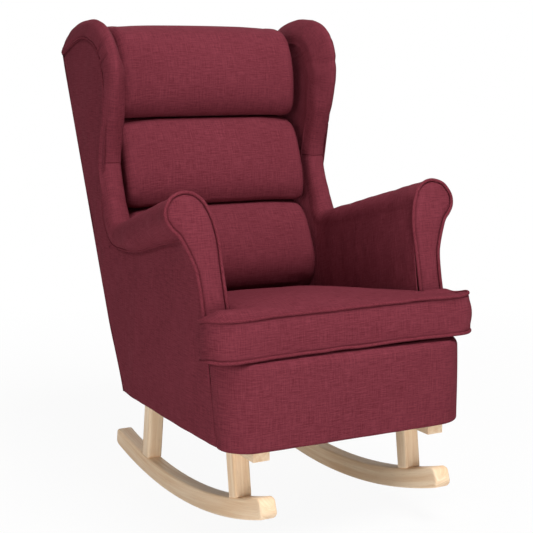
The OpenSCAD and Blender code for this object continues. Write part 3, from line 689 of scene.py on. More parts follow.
@dataclass(frozen=True)
class Metal:
    """A metal finish: its clean and stained colours and its roughness."""

    name: str
    clean: Colour
    stained: Colour
    roughness: float

    def make(self) -> Material:
        """The metal's material, on object coordinates.

        Returns:
            The material.
        """
        material, wiring = new_material(self.name)
        worn = wiring.add("Group", {"Vector": wiring.place(False)}, node_tree=WORN_METAL)
        colour = wiring.blend(worn.outputs["Stain"], self.clean, self.stained)
        rough = wiring.maths("MULTIPLY_ADD", worn.outputs["Stain"], 0.2, self.roughness)
        shade(wiring, colour, rough, worn.outputs["Grain"], 0.00008, {"Metallic": 1.0})
        return material


class Palette:
    """Every finish of the chair, made once, and the ways its cloth is put on."""

    def __init__(self) -> None:
        """Makes the materials."""
        upright, quarter = (0.0, 0.0, 0.0), math.pi / 2
        self.upholstery = Cloth("upholstery cloth", (0.101, 0.0152, 0.0229), (0.229, 0.0455, 0.0648)).make()
        self.piping = Cloth("piping cloth", (0.100, 0.0145, 0.022), (0.228, 0.044, 0.0625),
                            turned=0.785).make()
        self.deck = Cloth("deck cloth", (0.09, 0.014, 0.021), (0.22, 0.046, 0.066)).make()
        self.dust = Cloth("dust cloth", (0.018, 0.018, 0.019), (0.045, 0.045, 0.048), 0.95, 0.0003).make()
        self.webbing = Cloth("webbing", (0.34, 0.29, 0.21), (0.52, 0.46, 0.35), 0.9, on_object=True).make()
        self.tape = Cloth("zip tape", (0.08, 0.014, 0.021), (0.18, 0.038, 0.054), 0.8, 0.0003).make()
        pale = ((0.785, 0.530, 0.320), (0.95, 0.755, 0.545), 0.44)
        board = ((0.50, 0.34, 0.20), (0.66, 0.48, 0.31), 0.62)
        self.rubberwood = [Timber(f"rubberwood {k}", *pale, None, (0.37 * k, 0.9 * k, 0.0)).make()
                           for k in range(4)]
        self.rail = Timber("rubberwood rail", *pale, upright).make()
        self.board_along = [Timber(f"frame timber {word}", *board, turn).make() for word, turn in (
            ("across", (0.0, 0.0, quarter)), ("deep", upright), ("upright", (quarter, 0.0, 0.0)))]
        self.board_shaped = Timber("frame timber shaped", *board).make()
        self.zinc = Metal("zinc plate", (0.62, 0.63, 0.65), (0.45, 0.46, 0.47), 0.3).make()
        self.spring = Metal("spring steel", (0.20, 0.20, 0.21), (0.12, 0.11, 0.10), 0.42).make()

    def upholster(self, obj: Piece, inside: tuple[float, float, float], nodes: tuple[str, ...],
                  fill: float, thickness: float = PADDED_COVER) -> None:
        """Finishes an open cover: turns its faces outwards, thickens it and puts it on the chair.

        Args:
            obj: The open cover.
            inside: A point that the cover looks away from.
            nodes: The frame's nodes that it stands for.
            fill: How firm its padding is.
            thickness: The cover's thickness.
        """
        face_towards(obj, inside)
        thicken(obj, thickness)
        Fit(Body.CHAIR, "upholstery", nodes, fill).apply(obj, self.upholstery)

    def sew_cord(self, obj: Piece, body: Body, *nodes: str) -> None:
        """Puts a finished cord on its body, in the piping's cloth."""
        Fit(body, "piping", nodes).apply(obj, self.piping)

    def carpenter(self, obj: Piece, node: str) -> None:
        """Puts a finished frame board on the chair, in place of a node."""
        Fit(Body.CHAIR, "frame_timber", (node,)).apply(obj, self.board_shaped)


# ---- shared lines of the seat body


def fall(distance: Array, radius: float) -> Array:
    """How far a surface drops at a distance from a rounded edge: a quarter circle of the given radius."""
    inside = np.clip(1 - distance / radius, 0, 1)
    return radius * (1 - np.sqrt(1 - inside**2))


def groove(distance: Array, depth: float, width: float) -> Array:
    """Depth of a seam's groove at a distance from its line: a bell curve."""
    return depth * np.exp(-(distance / width) ** 2)


def place(yz: Array, x: Array | float) -> Array:
    """Points of an upright plane with their x added in front."""
    return np.concatenate([np.broadcast_to(np.asarray(x, float), yz.shape[:-1])[..., None], yz], axis=-1)


def smoothed(line: Array, width: float) -> Array:
    """A line with its corners rounded: each point is a bell-weighted mean of its neighbours.

    Args:
        line: The line, evenly stepped.
        width: Width of the bell, along the line.

    Returns:
        The rounded line, with as many points.
    """
    step = lengths(line)[-1] / (len(line) - 1)
    reach = int(3 * width / step)
    padded = np.vstack([2 * line[0] - line[reach:0:-1], line, 2 * line[-1] - line[-2:-reach - 2:-1]])
    bell = np.exp(-0.5 * (np.arange(-reach, reach + 1) * step / width) ** 2)
    bell /= bell.sum()
    return np.stack([np.convolve(padded[:, k], bell, "valid") for k in range(line.shape[1])], axis=1)


def normals_of(points: Array) -> Array:
    """Unit normals of a grid, across its rows and columns."""
    return unit(np.cross(np.gradient(points, axis=1), np.gradient(points, axis=0)))


def coons(left: Array, right: Array, bottom: Array, top: Array) -> Array:
    """A grid between four edges: the sum of the two ruled grids, less the one through the four corners.

    Args:
        left: The first edge, from the bottom up.
        right: The opposite edge, from the bottom up.
        bottom: The lower edge, from left to right.
        top: The upper edge, from left to right.

    Returns:
        The grid, row by row from the bottom.
    """
    s = np.linspace(0, 1, len(bottom))[None, :, None]
    t = np.linspace(0, 1, len(left))[:, None, None]
    across = (1 - s) * left[:, None] + s * right[:, None]
    upward = (1 - t) * bottom[None] + t * top[None]
    corners = (1 - t) * ((1 - s) * bottom[0] + s * bottom[-1]) + t * ((1 - s) * top[0] + s * top[-1])
    return across + upward - corners


def closed_ends(grid: Array, middles: Array, scales: tuple[float, ...]) -> Array:
    """A grid of sections with its first and last one shrunk to their middles, to close its ends.

    Args:
        grid: Sections by points.
        middles: The middle of each section.
        scales: Sizes of the shrunk sections, from the end inwards.

    Returns:
        The grid with the shrunk sections added at both ends.
    """
    ends = [[middles[k] + (grid[k] - middles[k]) * scale for scale in scales] for k in (0, -1)]
    return np.concatenate([np.stack(ends[0]), grid, np.stack(ends[1][::-1])])


@dataclass(frozen=True)
class SeatBody:
    """Lines of the seat body that its covers share, in the upright plane of one side."""

    base_z: float = 0.204
    front_y: float = -0.435
    rear_y: float = 0.145
    seam_y: float = -0.360
    side_x: float = 0.274
    widening: float = 0.011
    deck_z: float = 0.3796
    rake: float = math.radians(22.3)
    back_length: float = 0.8432
    arm_y: float = -0.278
    arm_z: float = 0.645
    drop: float = math.radians(14)
    roll: float = 0.045

    def side_at(self, z: Array) -> Array:
        """Half of the body's width at heights z: it widens a little towards the wings."""
        return self.side_x + self.widening * np.clip((z - 0.30) / 0.62, 0, 1)

    def back(self, w: Array | float, n: Array | float) -> Array:
        """Points w up the back's rear face and n in front of it."""
        w, n = np.asarray(w, float), np.asarray(n, float)
        return stacked(self.rear_y + w * math.sin(self.rake) - n * math.cos(self.rake),
                       self.base_z + w * math.cos(self.rake) + n * math.sin(self.rake))

    def ahead(self, yz: Array) -> Array:
        """How far points are in front of the back's rear face."""
        y, z = yz[..., 0] - self.rear_y, yz[..., 1] - self.base_z
        return z * math.sin(self.rake) - y * math.cos(self.rake)

    def up(self, yz: Array) -> Array:
        """How far up the back's rear face points are."""
        y, z = yz[..., 0] - self.rear_y, yz[..., 1] - self.base_z
        return y * math.sin(self.rake) + z * math.cos(self.rake)

    def up_at(self, z: float, ahead: float) -> float:
        """How far up the back a point is, from its height and how far ahead of the rear face it is."""
        return (z - self.base_z - ahead * math.sin(self.rake)) / math.cos(self.rake)

    def arm(self, u: Array | float, v: Array | float) -> Array:
        """Points u behind the facing along the arm and v above the roll's axis."""
        u, v = np.asarray(u, float), np.asarray(v, float)
        return stacked(self.arm_y + u * math.cos(self.drop) + v * math.sin(self.drop),
                       self.arm_z - u * math.sin(self.drop) + v * math.cos(self.drop))

    def along_arm(self, yz: Array) -> tuple[Array, Array]:
        """How far points are behind the facing and above the roll's axis."""
        y, z = yz[..., 0] - self.arm_y, yz[..., 1] - self.arm_z
        return (y * math.cos(self.drop) - z * math.sin(self.drop),
                y * math.sin(self.drop) + z * math.cos(self.drop))


SEAT = SeatBody()


# ---- arms, wings and sides


@dataclass
class Sleeve:
    """The cover that runs along one arm, turns up at the corner and goes on round the wing's edge.

    Its sections are drawn across one path: over the arm a leaning inner side and a narrowing roll, round the
    wing a blunt nose with a welt, and a blend between. Columns go up the inner side, then over the top to the
    welt. The inner side leans to waist_x, then to foot_x, over the heights waist and foot.
    """

    side: Side
    arm_length: float = 0.408
    roll_rear: float = 0.034
    roll_x: float = 0.281
    roll_rear_x: float = 0.258
    wing_in: float = 0.236
    under_x: float = 0.2785
    seam_z: float = 0.716
    rear_gap: float = 0.005
    waist_x: float = 0.2204
    waist: float = 0.085
    foot_x: float = 0.2144
    foot: float = 0.095
    middle_x: float = 0.262
    stations: int = 420
    inner_columns: int = 29
    over_columns: int = 49
    crest_columns: int = 21
    nose_columns: int = 21
    corner: float = 0.011
    dimple: float = 0.0105
    dimple_fold: float = 0.0042
    cord: float = 0.0021
    settle: tuple[float, float] = (0.0, 0.0)
    wing_points: tuple = ((0.149, 0.632), (0.171, 0.676), (0.181, 0.720), (0.164, 0.778), (0.140, 0.832),
                          (0.123, 0.885), (0.118, 0.927), (0.124, 0.963), (0.147, 0.999), (0.181, 1.022),
                          (0.218, 1.033), (0.258, 1.037), (0.298, 1.037), (0.338, 1.033), (0.378, 1.025),
                          (0.418, 1.012), (0.450, 0.997), (0.478, 0.981))
    dimples: tuple = ((0.190, 0.965), (0.172, 0.940))
    welt_points: tuple = ((-0.205, 0.590), (-0.124, 0.566), (-0.045, 0.550), (0.021, 0.540), (0.091, 0.537),
                          (0.152, 0.550), (0.180, 0.572), (0.192, 0.604), (0.192, 0.637), (0.188, 0.675),
                          (0.184, 0.714), (0.179, 0.747), (0.173, 0.790), (0.167, 0.853), (0.166, 0.891),
                          (0.173, 0.921), (0.181, 0.940), (0.199, 0.966), (0.221, 0.981), (0.259, 0.994),
                          (0.299, 0.998), (0.350, 0.991), (0.403, 0.976), (0.470, 0.957))

    def __post_init__(self) -> None:
        """Works out the path, its inward directions and the lines that other covers meet."""
        arm = SEAT.arm(np.linspace(0.004, self.arm_length, 60), SEAT.roll)
        wing = spline([tuple(arm[-1]), *map(tuple, self.settled(self.wing_points))], 10)
        line = smoothed(even(np.vstack([arm, wing[1:]]), 700), self.corner)
        line = line[SEAT.ahead(line) > self.rear_gap]
        self.path = even(line, self.stations)
        self.s = lengths(self.path)
        along = heading(self.path)
        self.inward = stacked(along[:, 1], -along[:, 0])
        share = np.clip(self.s / self.arm_length, 0, 1)
        self.radius = SEAT.roll + (self.roll_rear - SEAT.roll) * share
        self.axis_x = self.roll_x + (self.roll_rear_x - self.roll_x) * share
        self.winged = ease((self.s - 0.30) / 0.16)
        beyond = self.s > 0.44
        self.seam_s = float(np.interp(self.seam_z, self.path[beyond, 1], self.s[beyond]))
        self.welt = self.welt_depth()
        self.over = self.top_section()
        self.welt_line = self.path + self.inward * self.over[:, -1, 1:]
        self.pits = [int(np.argmin(np.linalg.norm(self.welt_line - spot, axis=1)))
                     for spot in self.settled(self.dimples, 0.25)]

    def settled(self, points: tuple, share: float = 1.0) -> Array:
        """Points of the wing's outline, moved at its top by how this wing has settled.

        Args:
            points: Rows of y and z.
            share: How much of the move the points take.

        Returns:
            The moved points.
        """
        points = np.array(points)
        rear = ease((0.47 - points[:, :1]) / 0.12)
        return points + share * ease((points[:, 1:] - 0.93) / 0.07) * rear * self.settle

    def welt_depth(self) -> Array:
        """How deep below the path the welt lies: where each section's inward line crosses the welt's line.

        Returns:
            One depth for each section.
        """
        welt = spline([tuple(point) for point in self.settled(self.welt_points, 0.25)], 24)
        to = welt[None] - self.path[:, None]
        deep = (to * self.inward[:, None]).sum(-1)
        aside = np.abs(to[..., 0] * self.inward[:, None, 1] - to[..., 1] * self.inward[:, None, 0])
        aside = np.where((deep > 0.005) & (deep < 0.13), aside, 1.0)
        found = deep[np.arange(len(self.path)), aside.argmin(1)]
        bell = np.hanning(25)
        return np.convolve(np.pad(found, 12, mode="edge"), bell / bell.sum(), "valid")

    def top_section(self) -> Array:
        """Sections from the inner shoulder over the top to the welt, as x and depth below the path.

        The roll is a circle whose outer half is squeezed to end at the welt. The wing's section is a curve
        through nine knots, whose inner ones drop where the padding thins.

        Returns:
            Sections by columns by 2.
        """
        t = np.linspace(0, 1, self.over_columns)[None]
        last = np.pi - np.arcsin((self.under_x - self.axis_x) / self.radius)[:, None]
        first = -math.radians(100)
        turn = first + t * (last - first)
        full = self.radius[:, None] * (1 - np.cos(turn))
        squeeze = (self.welt[:, None] / full[:, -1:]) ** ease((self.s[:, None] - 0.12) / 0.16)
        squeeze = np.where(turn > 0, 1 + (squeeze - 1) * np.clip(turn / last, 0, 1), 1)
        roll = stacked(self.axis_x[:, None] + self.radius[:, None] * np.sin(turn), full * squeeze)
        y, z = self.path.T
        thinner = 0.004 + 0.014 * ease((z - 0.81) / 0.07) + 0.015 * ease((z - 0.90) / 0.07)
        drop = self.winged * (thinner - 0.010 * ease((y - 0.13) / 0.10))
        welt = np.maximum(self.welt, 0.026)
        lines = ((self.wing_in, drop + 0.033), (0.2376, drop + 0.019), (0.2425, drop + 0.007),
                 (0.2545, 0.5 * drop + 0.0005), (0.268, 0.0004), (0.278, 0.0055), (0.2845, 0.016),
                 (0.2885, 0.008 + 0.58 * welt), (0.2853, welt))
        knots = np.stack([stacked(x, deep + 0 * y) for x, deep in lines])
        wing = spline(knots.reshape(len(lines), -1), (self.over_columns - 1) // (len(lines) - 1))
        w = self.winged[:, None, None]
        return (1 - w) * roll + w * wing.reshape(-1, len(y), 2).transpose(1, 0, 2)

    def inner_ends(self) -> Array:
        """Where the inner side ends: along the deck under the arm, then up behind the bolsters.

        Returns:
            The y and z of each section's end.
        """
        deck, behind, lead = SEAT.deck_z - 0.008, 0.060, 0.03
        down = self.path + self.inward * ((self.path[:, 1:] - deck) / np.maximum(-self.inward[:, 1:], 0.2))
        turn_w = SEAT.up_at(deck, behind)
        corner = SEAT.back(turn_w, behind)
        run = corner[0] - down[0, 0]
        arm, wing = self.s < self.arm_length - 0.03, self.s > self.arm_length + 0.07
        known = np.concatenate([down[arm, 0] - down[0, 0], run + SEAT.up(self.path[wing]) - lead - turn_w])
        e = np.maximum.accumulate(np.interp(self.s, self.s[arm | wing], known))
        level = stacked(down[0, 0] + np.minimum(e, run), deck)
        return np.where((e < run)[:, None], level, SEAT.back(turn_w + e - run, behind))

    def inner_side(self) -> Array:
        """The inner side, ruled from its hidden end up to the shoulder.

        Returns:
            Sections by columns by 3.
        """
        q = np.linspace(0, 1, self.inner_columns + 1)[None, :, None]
        shoulder = self.path + self.inward * self.over[:, 0, 1:]
        yz = (1 - q) * self.inner_ends()[:, None] + q * shoulder[:, None]
        below = np.linalg.norm(yz - shoulder[:, None], axis=-1)
        start = self.over[:, :1, 0]
        lean = start + (self.waist_x - start) * np.clip(below / self.waist, 0, 1)
        lean = lean + (self.foot_x - self.waist_x) * np.clip((below - self.waist) / self.foot, 0, 1)
        behind_corner = (ease((yz[..., 1] - 0.590) / 0.06) * ease((yz[..., 0] - 0.07) / 0.07)
                         * ease(below / 0.03))
        return place(yz, lean + (self.wing_in - lean) * behind_corner)

    def grid(self) -> Array:
        """The whole cover, with its edge tucked in and gathers where the curve is tight.

        Returns:
            Sections by columns.
        """
        over = place(self.path[:, None] + self.inward[:, None] * self.over[..., 1:], self.over[..., 0])
        tuck = over[:, -1:] + np.array([[-0.002, 0, 0], [-0.006, 0, 0]])[None]
        tuck[:, :, 1:] += self.inward[:, None] * np.array([0.0015, 0.001])[None, :, None]
        points = np.concatenate([self.inner_side()[:, :-1], over, tuck], axis=1)
        normal = normals_of(points)
        crest = self.inner_columns + self.crest_columns
        if (normal[:, crest - 10:crest + 10, 1:] * self.inward[:, None]).sum() > 0:
            normal = -normal
        s = self.s[:, None]
        welt_column = self.inner_columns + self.over_columns
        near_welt = np.zeros(points.shape[1])
        near_welt[welt_column - self.nose_columns:welt_column] = np.linspace(0, 1, self.nose_columns)
        bend = np.abs(np.gradient(np.unwrap(np.arctan2(self.inward[:, 1], self.inward[:, 0])), self.s))
        gather = np.clip(bend / 14, 0, 1)[:, None] * near_welt[None] ** 2 * ease((s - 0.55) / 0.1)
        tucks = np.clip(np.sin(2 * np.pi * (s + 0.004 * waves(s, 11, 0.09)) / 0.019), -0.2, 1) ** 3
        soft = 0.0007 * waves(s + 0.02 * waves(points[..., 2], 5, 0.2), 3 + self.side.value, 0.16)
        free = np.clip(np.abs(s - self.seam_s) / 0.05, 0, 1)
        seam = groove(s - self.seam_s, 0.0016, 0.0028)
        rise = soft * free - seam - 0.0022 * gather * tucks - self.dents(points)
        return points + normal * rise[..., None]

    def pit_share(self, yz: Array) -> Array:
        """How much of the dimples' depth reaches points beside the welt: a bell round each dimple."""
        return sum(np.exp(-(np.linalg.norm(yz - self.welt_line[at], axis=-1) / 0.007) ** 2)
                   for at in self.pits)

    def dents(self, points: Array) -> Array:
        """Depth of the dimples at the welt and of the soft folds that run from them over the nose.

        Args:
            points: The cover's grid.

        Returns:
            The depth at each point.
        """
        depth = np.zeros(points.shape[:2])
        outer_from = self.inner_columns + self.over_columns - self.nose_columns - 2
        outer = (np.arange(points.shape[1]) > outer_from)[None]
        for at in self.pits:
            away = np.linalg.norm(points[..., 1:] - self.welt_line[at], axis=-1)
            beside = (self.s - self.s[at])[:, None]
            depth += outer * (self.dimple * np.exp(-(beside / 0.0065) ** 2 - (away / 0.013) ** 2)
                              + self.dimple_fold * np.exp(-(beside / 0.0075) ** 2 - away / 0.032))
        return depth

    def build(self, palette: Palette) -> None:
        """Makes the arm's cover, up to the cross seam, the wing's cover above it, and the welt's cord.

        Args:
            palette: The chair's finishes.
        """
        points = self.grid()
        split, first = int(np.searchsorted(self.s, self.seam_s)), self.inner_columns
        flat = points[-1].copy()
        chord = np.linspace(0, 1, len(flat) - first)[:, None]
        flat[first:] = (1 - chord) * flat[first] + chord * flat[-1]
        across = run_lengths(points, 1)
        crest = first + self.crest_columns
        uv = stacked(across - across[:, crest:crest + 1], self.s[:, None])
        wing = np.concatenate([points[split:], flat[None]])
        wing_uv = np.concatenate([uv[split:], uv[-1:] + [0, 0.01]])
        for kind, part, cloth, inside in (("arm", points[:split + 1], uv[:split + 1], (-0.05, 0.56)),
                                          ("wing", wing, wing_uv, (0.3, 0.6))):
            obj = grid_object(f"{kind}_cover_{self.side.word}", part, cloth, self.side)
            palette.upholster(obj, (self.middle_x * self.side.value, *inside),
                              (f"{kind}_pad_{self.side.word}",), 0.75)
        x = self.over[:, -1, 0] + 0.0012 - 0.0085 * self.pit_share(self.welt_line)
        cord = tube(f"welt_cord_{self.side.word}", place(self.welt_line, x)[1:-1],
                    place(self.inward, 0.0)[1:-1], self.cord, ring=8, side=self.side)
        palette.sew_cord(cord, Body.CHAIR)


@dataclass
class ArmBoard:
    """The board inside one arm's roll, under the padding."""

    side: Side
    length: float = 0.340
    front_x: float = 0.2767
    half_w: float = 0.0200
    half_h: float = 0.0098

    def build(self, palette: Palette) -> None:
        """Makes the board along the roll's axis, tapered with it.

        Args:
            palette: The chair's finishes.
        """
        t = np.linspace(0, 1, 30)
        centres = place(SEAT.arm(0.014 + self.length * t, 0.0), self.front_x - 0.023 * t)
        along = centres[-1] - centres[0]
        across = unit(np.cross(np.cross(along, ACROSS), along))
        rise = unit(np.cross(along, across))
        obj = bar(f"arm_rest_board_{self.side.word}", centres, across, rise, self.half_w - 0.003 * t,
                  self.half_h, BOARD_EDGE, self.side)
        palette.carpenter(obj, f"arm_board_{self.side.word}")


@dataclass
class WingBoard:
    """The board inside one wing, under the padding."""

    side: Side
    sleeve: Sleeve
    x: float = 0.2517
    width: float = 0.034
    half_t: float = 0.0095

    def build(self, palette: Palette) -> None:
        """Makes the board: a flat strip that follows the wing's edge, well inside its cover.

        Args:
            palette: The chair's finishes.
        """
        sleeve = self.sleeve
        kept = (sleeve.s > sleeve.arm_length + 0.01) & (SEAT.ahead(sleeve.path) > 0.05)
        path, inward = sleeve.path[kept], sleeve.inward[kept]
        z = path[:, 1]
        edge = 0.030 + 0.014 * ease((z - 0.81) / 0.07) + 0.014 * ease((z - 0.90) / 0.07)
        centres = place(path + inward * (edge + self.width / 2)[:, None], self.x)
        obj = bar(f"wing_edge_board_{self.side.word}", centres, ACROSS, place(inward, 0.0), self.half_t,
                  self.width / 2, BOARD_EDGE, self.side)
        palette.carpenter(obj, f"wing_board_{self.side.word}")


@dataclass
class Facing:
    """The scroll-shaped front of one arm and the cord sewn round it."""

    side: Side
    cord: float = 0.0036
    fullness: float = 0.0065
    outline: tuple = ((0.216, -0.273), (0.218, -0.190), (0.2192, -0.139), (0.2200, -0.100),
                      (0.2202, -0.059), (0.2247, -0.0225), (0.2332, 0.0058), (0.2453, 0.0286),
                      (0.2643, 0.0435), (0.2878, 0.0475), (0.3124, 0.0385), (0.3259, 0.0217),
                      (0.3315, 0.0056), (0.329, -0.0136), (0.3185, -0.0300), (0.307, -0.042),
                      (0.2975, -0.062), (0.288, -0.086), (0.281, -0.1104), (0.2778, -0.149),
                      (0.277, -0.190), (0.277, -0.273))

    def __post_init__(self) -> None:
        """Works out the cord's middle line."""
        line = even(spline(self.outline, 10), 260)
        self.line = smoothed(line - outward(line) * self.cord, 0.003)

    def outer_x(self, v: Array) -> Array:
        """The x of the outer edge at heights v above the roll's axis."""
        outer = self.line[int(np.argmax(self.line[:, 0])):]
        return np.interp(v, outer[::-1, 1], outer[::-1, 0])

    def build(self, palette: Palette) -> None:
        """Makes the facing and its cord. The facing rises beside the cord by a quarter circle, then is flat.

        Args:
            palette: The chair's finishes.
        """
        top = int(np.argmax(self.line[:, 1]))
        foot, head = self.line[0, 1], self.line[top, 1]
        v = foot + (head - foot) * np.sin(np.linspace(0, np.pi / 2, 120))
        inner, outer = self.line[:top + 1], self.line[top:][::-1]
        left, right = np.interp(v, inner[:, 1], inner[:, 0]), np.interp(v, outer[:, 1], outer[:, 0])
        c = (1 - np.cos(np.linspace(0, np.pi, 36))) / 2
        flat = stacked(left[:, None] + (right - left)[:, None] * c[None], v[:, None])
        gap = distance_to(flat, self.line)
        edge = 1 - np.clip((gap - 0.0042) / 0.016, 0, 1)
        soft = 0.0006 * waves(flat[..., 1], 21 + self.side.value, 0.13) * np.clip(gap / 0.01, 0, 1)
        u = 0.003 - (self.fullness + 0.001) * np.sqrt(1 - edge**2) + soft
        points = place(SEAT.arm(u, flat[..., 1]), flat[..., 0])
        obj = grid_object(f"arm_facing_cover_{self.side.word}", points, flat, self.side)
        palette.upholster(obj, (0.27 * self.side.value, 0.1, 0.5), (f"arm_facing_{self.side.word}",), 0.7)
        path = place(SEAT.arm(0.0005, self.line[:, 1]), self.line[:, 0])
        ahead = place(SEAT.arm(1.0, 0.0) - SEAT.arm(0.0, 0.0), 0.0)
        cord = tube(f"facing_cord_{self.side.word}", path, ahead, self.cord, side=self.side)
        palette.sew_cord(cord, Body.CHAIR, f"facing_piping_{self.side.word}")


@dataclass
class SideCover:
    """The outer panel of one side, from the seat body's underside up to the roll and the wing's welt."""

    side: Side
    sleeve: Sleeve
    facing: Facing
    taper: float = 0.006
    fullness: float = 0.0045
    rear_n: float = 0.006
    rows: int = 130
    columns: int = 200

    def edges(self) -> tuple[Array, Array, Array, Array]:
        """The lines that the panel is stretched between.

        Returns:
            Its front, rear, bottom and top edges.
        """
        first = int(self.columns * 0.47)
        second = self.columns - first + 1
        low = np.array([[SEAT.seam_y, SEAT.base_z], [SEAT.rear_y - 0.004, SEAT.base_z]])
        front = even(np.vstack([low[:1], SEAT.arm(0.002, [-0.272, -0.15, -0.031])]), self.rows)
        sleeve = self.sleeve
        hidden = sleeve.welt_line - sleeve.inward * np.minimum(0.012, 0.4 * sleeve.welt)[:, None]
        corner = int(np.searchsorted(sleeve.s, sleeve.arm_length + 0.02))
        top = np.vstack([even(np.vstack([front[-1:], hidden[6:corner + 1]]), first),
                         even(hidden[corner:], second)[1:]])
        rear_line = SEAT.back(np.linspace(0.0, SEAT.up(top[-1]) - 0.02, 40), self.rear_n)
        bottom = np.vstack([even(low, first), even(np.vstack([low[1:], rear_line[1:]]), second)[1:]])
        rear = even(np.vstack([bottom[-1:], top[-1:]]), self.rows)
        return front, rear, bottom, top

    def build(self, palette: Palette) -> None:
        """Makes the panel, a little full between its seams and rounded at its lower and rear edges.

        Its x is the body's half width, plus its fullness and the flare that meets the facing, less the taper
        and the roundings, grooves and tucks at its edges.

        Args:
            palette: The chair's finishes.
        """
        yz = coons(*self.edges())
        y, z = yz[..., 0], yz[..., 1]
        rear, low = SEAT.ahead(yz) - self.rear_n, z - SEAT.base_z
        u, v = SEAT.along_arm(yz)
        welt_gap = distance_to(yz, self.sleeve.welt_line)
        seam = np.array([[SEAT.seam_y, SEAT.base_z], [-0.3435, 0.375], SEAT.arm(0.002, -0.04)])
        seam_gap = distance_to(yz, even(seam, 120))
        full = self.fullness * (1 - np.exp(-np.minimum(seam_gap, np.minimum(welt_gap, rear)) / 0.05))
        side_x = SEAT.side_at(z) - 0.001
        flare = (self.facing.outer_x(v) - side_x - 0.002) * np.exp(-(np.maximum(u, 0) / 0.055) ** 2)
        flare = np.maximum(flare, 0) * ease((z - 0.30) / 0.12)
        inset = self.taper * (1 - ease(low / 0.16)) + fall(low, 0.006) + fall(rear, 0.0015)
        seams = groove(seam_gap, 0.0025, 0.0035) + groove(welt_gap - 0.003, 0.0035, 0.0035)
        tuck = np.exp(-((y - SEAT.seam_y - 0.006) / 0.009) ** 2 - ((low - 0.016) / 0.012) ** 2)
        soft = 0.001 * waves(y + 0.3 * z, 31 + self.side.value, 0.23) * np.clip(seam_gap / 0.04, 0, 1)
        x = side_x + full + flare - inset - seams - 0.011 * self.sleeve.pit_share(yz) - 0.003 * tuck + soft
        points = place(yz, x)
        lip = points[:1] + [-0.008, 0, 0.0004]
        cloth = np.concatenate([yz[:1] - [0, 0.008], yz])
        obj = grid_object(f"side_cover_{self.side.word}", np.concatenate([lip, points]), cloth, self.side)
        palette.upholster(obj, (0.0, 0.0, 0.5), (f"side_panel_{self.side.word}",), 0.3, PANEL_COVER)


# ---- front, back and bolsters


@dataclass
class BaseFront:
    """The panel round the front of the seat body, between the two side seams."""

    corner: float = 0.068
    taper: float = 0.0045
    fullness: float = 0.003
    top_z: float = 0.3775
    slant: float = 0.017
    low_turn: float = 0.012
    high_turn: float = 0.016

    def plan(self) -> Array:
        """The panel's plan line, from the left seam to the right one.

        Returns:
            Rows of x and y.
        """
        x, y, r = SEAT.side_x, SEAT.front_y, self.corner
        turn = np.linspace(0, np.pi / 2, 40)[1:-1]
        left = stacked(x - r + r * np.cos(turn), y + r - r * np.sin(turn))
        half = np.vstack([[[x, SEAT.seam_y]], [[x, y + r]], left, [[x - r, y]], [[0, y]]])
        return smoothed(even(np.vstack([half, half[-2::-1] * [-1, 1]]), 260), 0.006)

    def build(self, palette: Palette) -> None:
        """Makes the panel, tapered to its rounded lower edge and turned in at its top and bottom.

        Args:
            palette: The chair's finishes.
        """
        line = self.plan()
        out, s = outward(line)[None], lengths(line)
        height = self.top_z - SEAT.base_z
        low = np.concatenate([(1 - np.cos(np.linspace(0, np.pi / 2, 14))) * 0.02,
                              np.linspace(0.02, height - 0.016, 44)[1:-1],
                              height - 0.016 * (1 - np.sin(np.linspace(0, np.pi / 2, 12)))])[:, None]
        inset = self.taper * (1 - ease(low / 0.16)) + fall(low, 0.0075) + fall(height - low, 0.015)
        ends = np.minimum(s, s[-1] - s)[None]
        full = self.fullness * np.sin(np.pi * np.clip(low / height, 0, 1)) * np.clip(ends / 0.12, 0, 1)
        tuck = 0.0035 * np.exp(-((ends - 0.012) / 0.010) ** 2) * np.exp(-((low - 0.018) / 0.012) ** 2)
        soft = 0.0009 * waves(s[None] + 0.3 * low, 41, 0.21) * np.clip(ends / 0.05, 0, 1)
        offset = full + soft - groove(ends, 0.003, 0.004) - tuck - inset
        xy = line[None] + out * offset[..., None]
        slant = low / 0.171 * self.slant * np.clip(1 - ends / 0.09, 0, 1)
        points = stacked(xy[..., 0], xy[..., 1] + slant, SEAT.base_z + low)
        under, over = points[:1] + [0, 0, 0.0002], points[-1:].copy()
        under[..., :2] -= out * self.low_turn
        over[..., :2] -= out * self.high_turn
        down = np.concatenate([[[-self.low_turn]], low, [[height + self.high_turn]]])
        obj = grid_object("base_front_cover", np.concatenate([under, points, over]), stacked(s[None], down))
        palette.upholster(obj, (0.0, -0.2, 0.3), ("base_front_panel",), 0.3, PANEL_COVER)


@dataclass
class BackCover:
    """The plain panel that closes the back, with its edges turned forward."""

    def build(self, palette: Palette) -> None:
        """Makes the panel: nearly flat, with its edges rounded forward and a groove beside them.

        Args:
            palette: The chair's finishes.
        """
        w = SEAT.back_length / 2 * (1 + np.sin(np.linspace(-np.pi / 2, np.pi / 2, 150)))
        x, w = np.meshgrid(np.sin(np.linspace(-np.pi / 2, np.pi / 2, 120)), w)
        rise = w * math.cos(SEAT.rake)
        half = SEAT.side_at(SEAT.base_z + rise) + 0.0008 - 0.006 * (1 - ease(rise / 0.16))
        half = half - fall(SEAT.back_length - w, 0.018)
        x = x * half
        edge = np.minimum(half - np.abs(x), np.minimum(w, SEAT.back_length - w))
        soft = 0.0008 * waves(w + 0.2 * x, 51, 0.3) * np.clip(edge / 0.05, 0, 1)
        full = 0.004 * (1 - np.exp(-edge / 0.06)) + soft
        n = fall(edge, 0.0115) + groove(edge - 0.011, 0.0012, 0.0022) - full
        obj = grid_object("back_cover", place(SEAT.back(w, n), x), stacked(x, w))
        palette.upholster(obj, (0.0, 0.1, 0.6), ("back_panel",), 0.3)


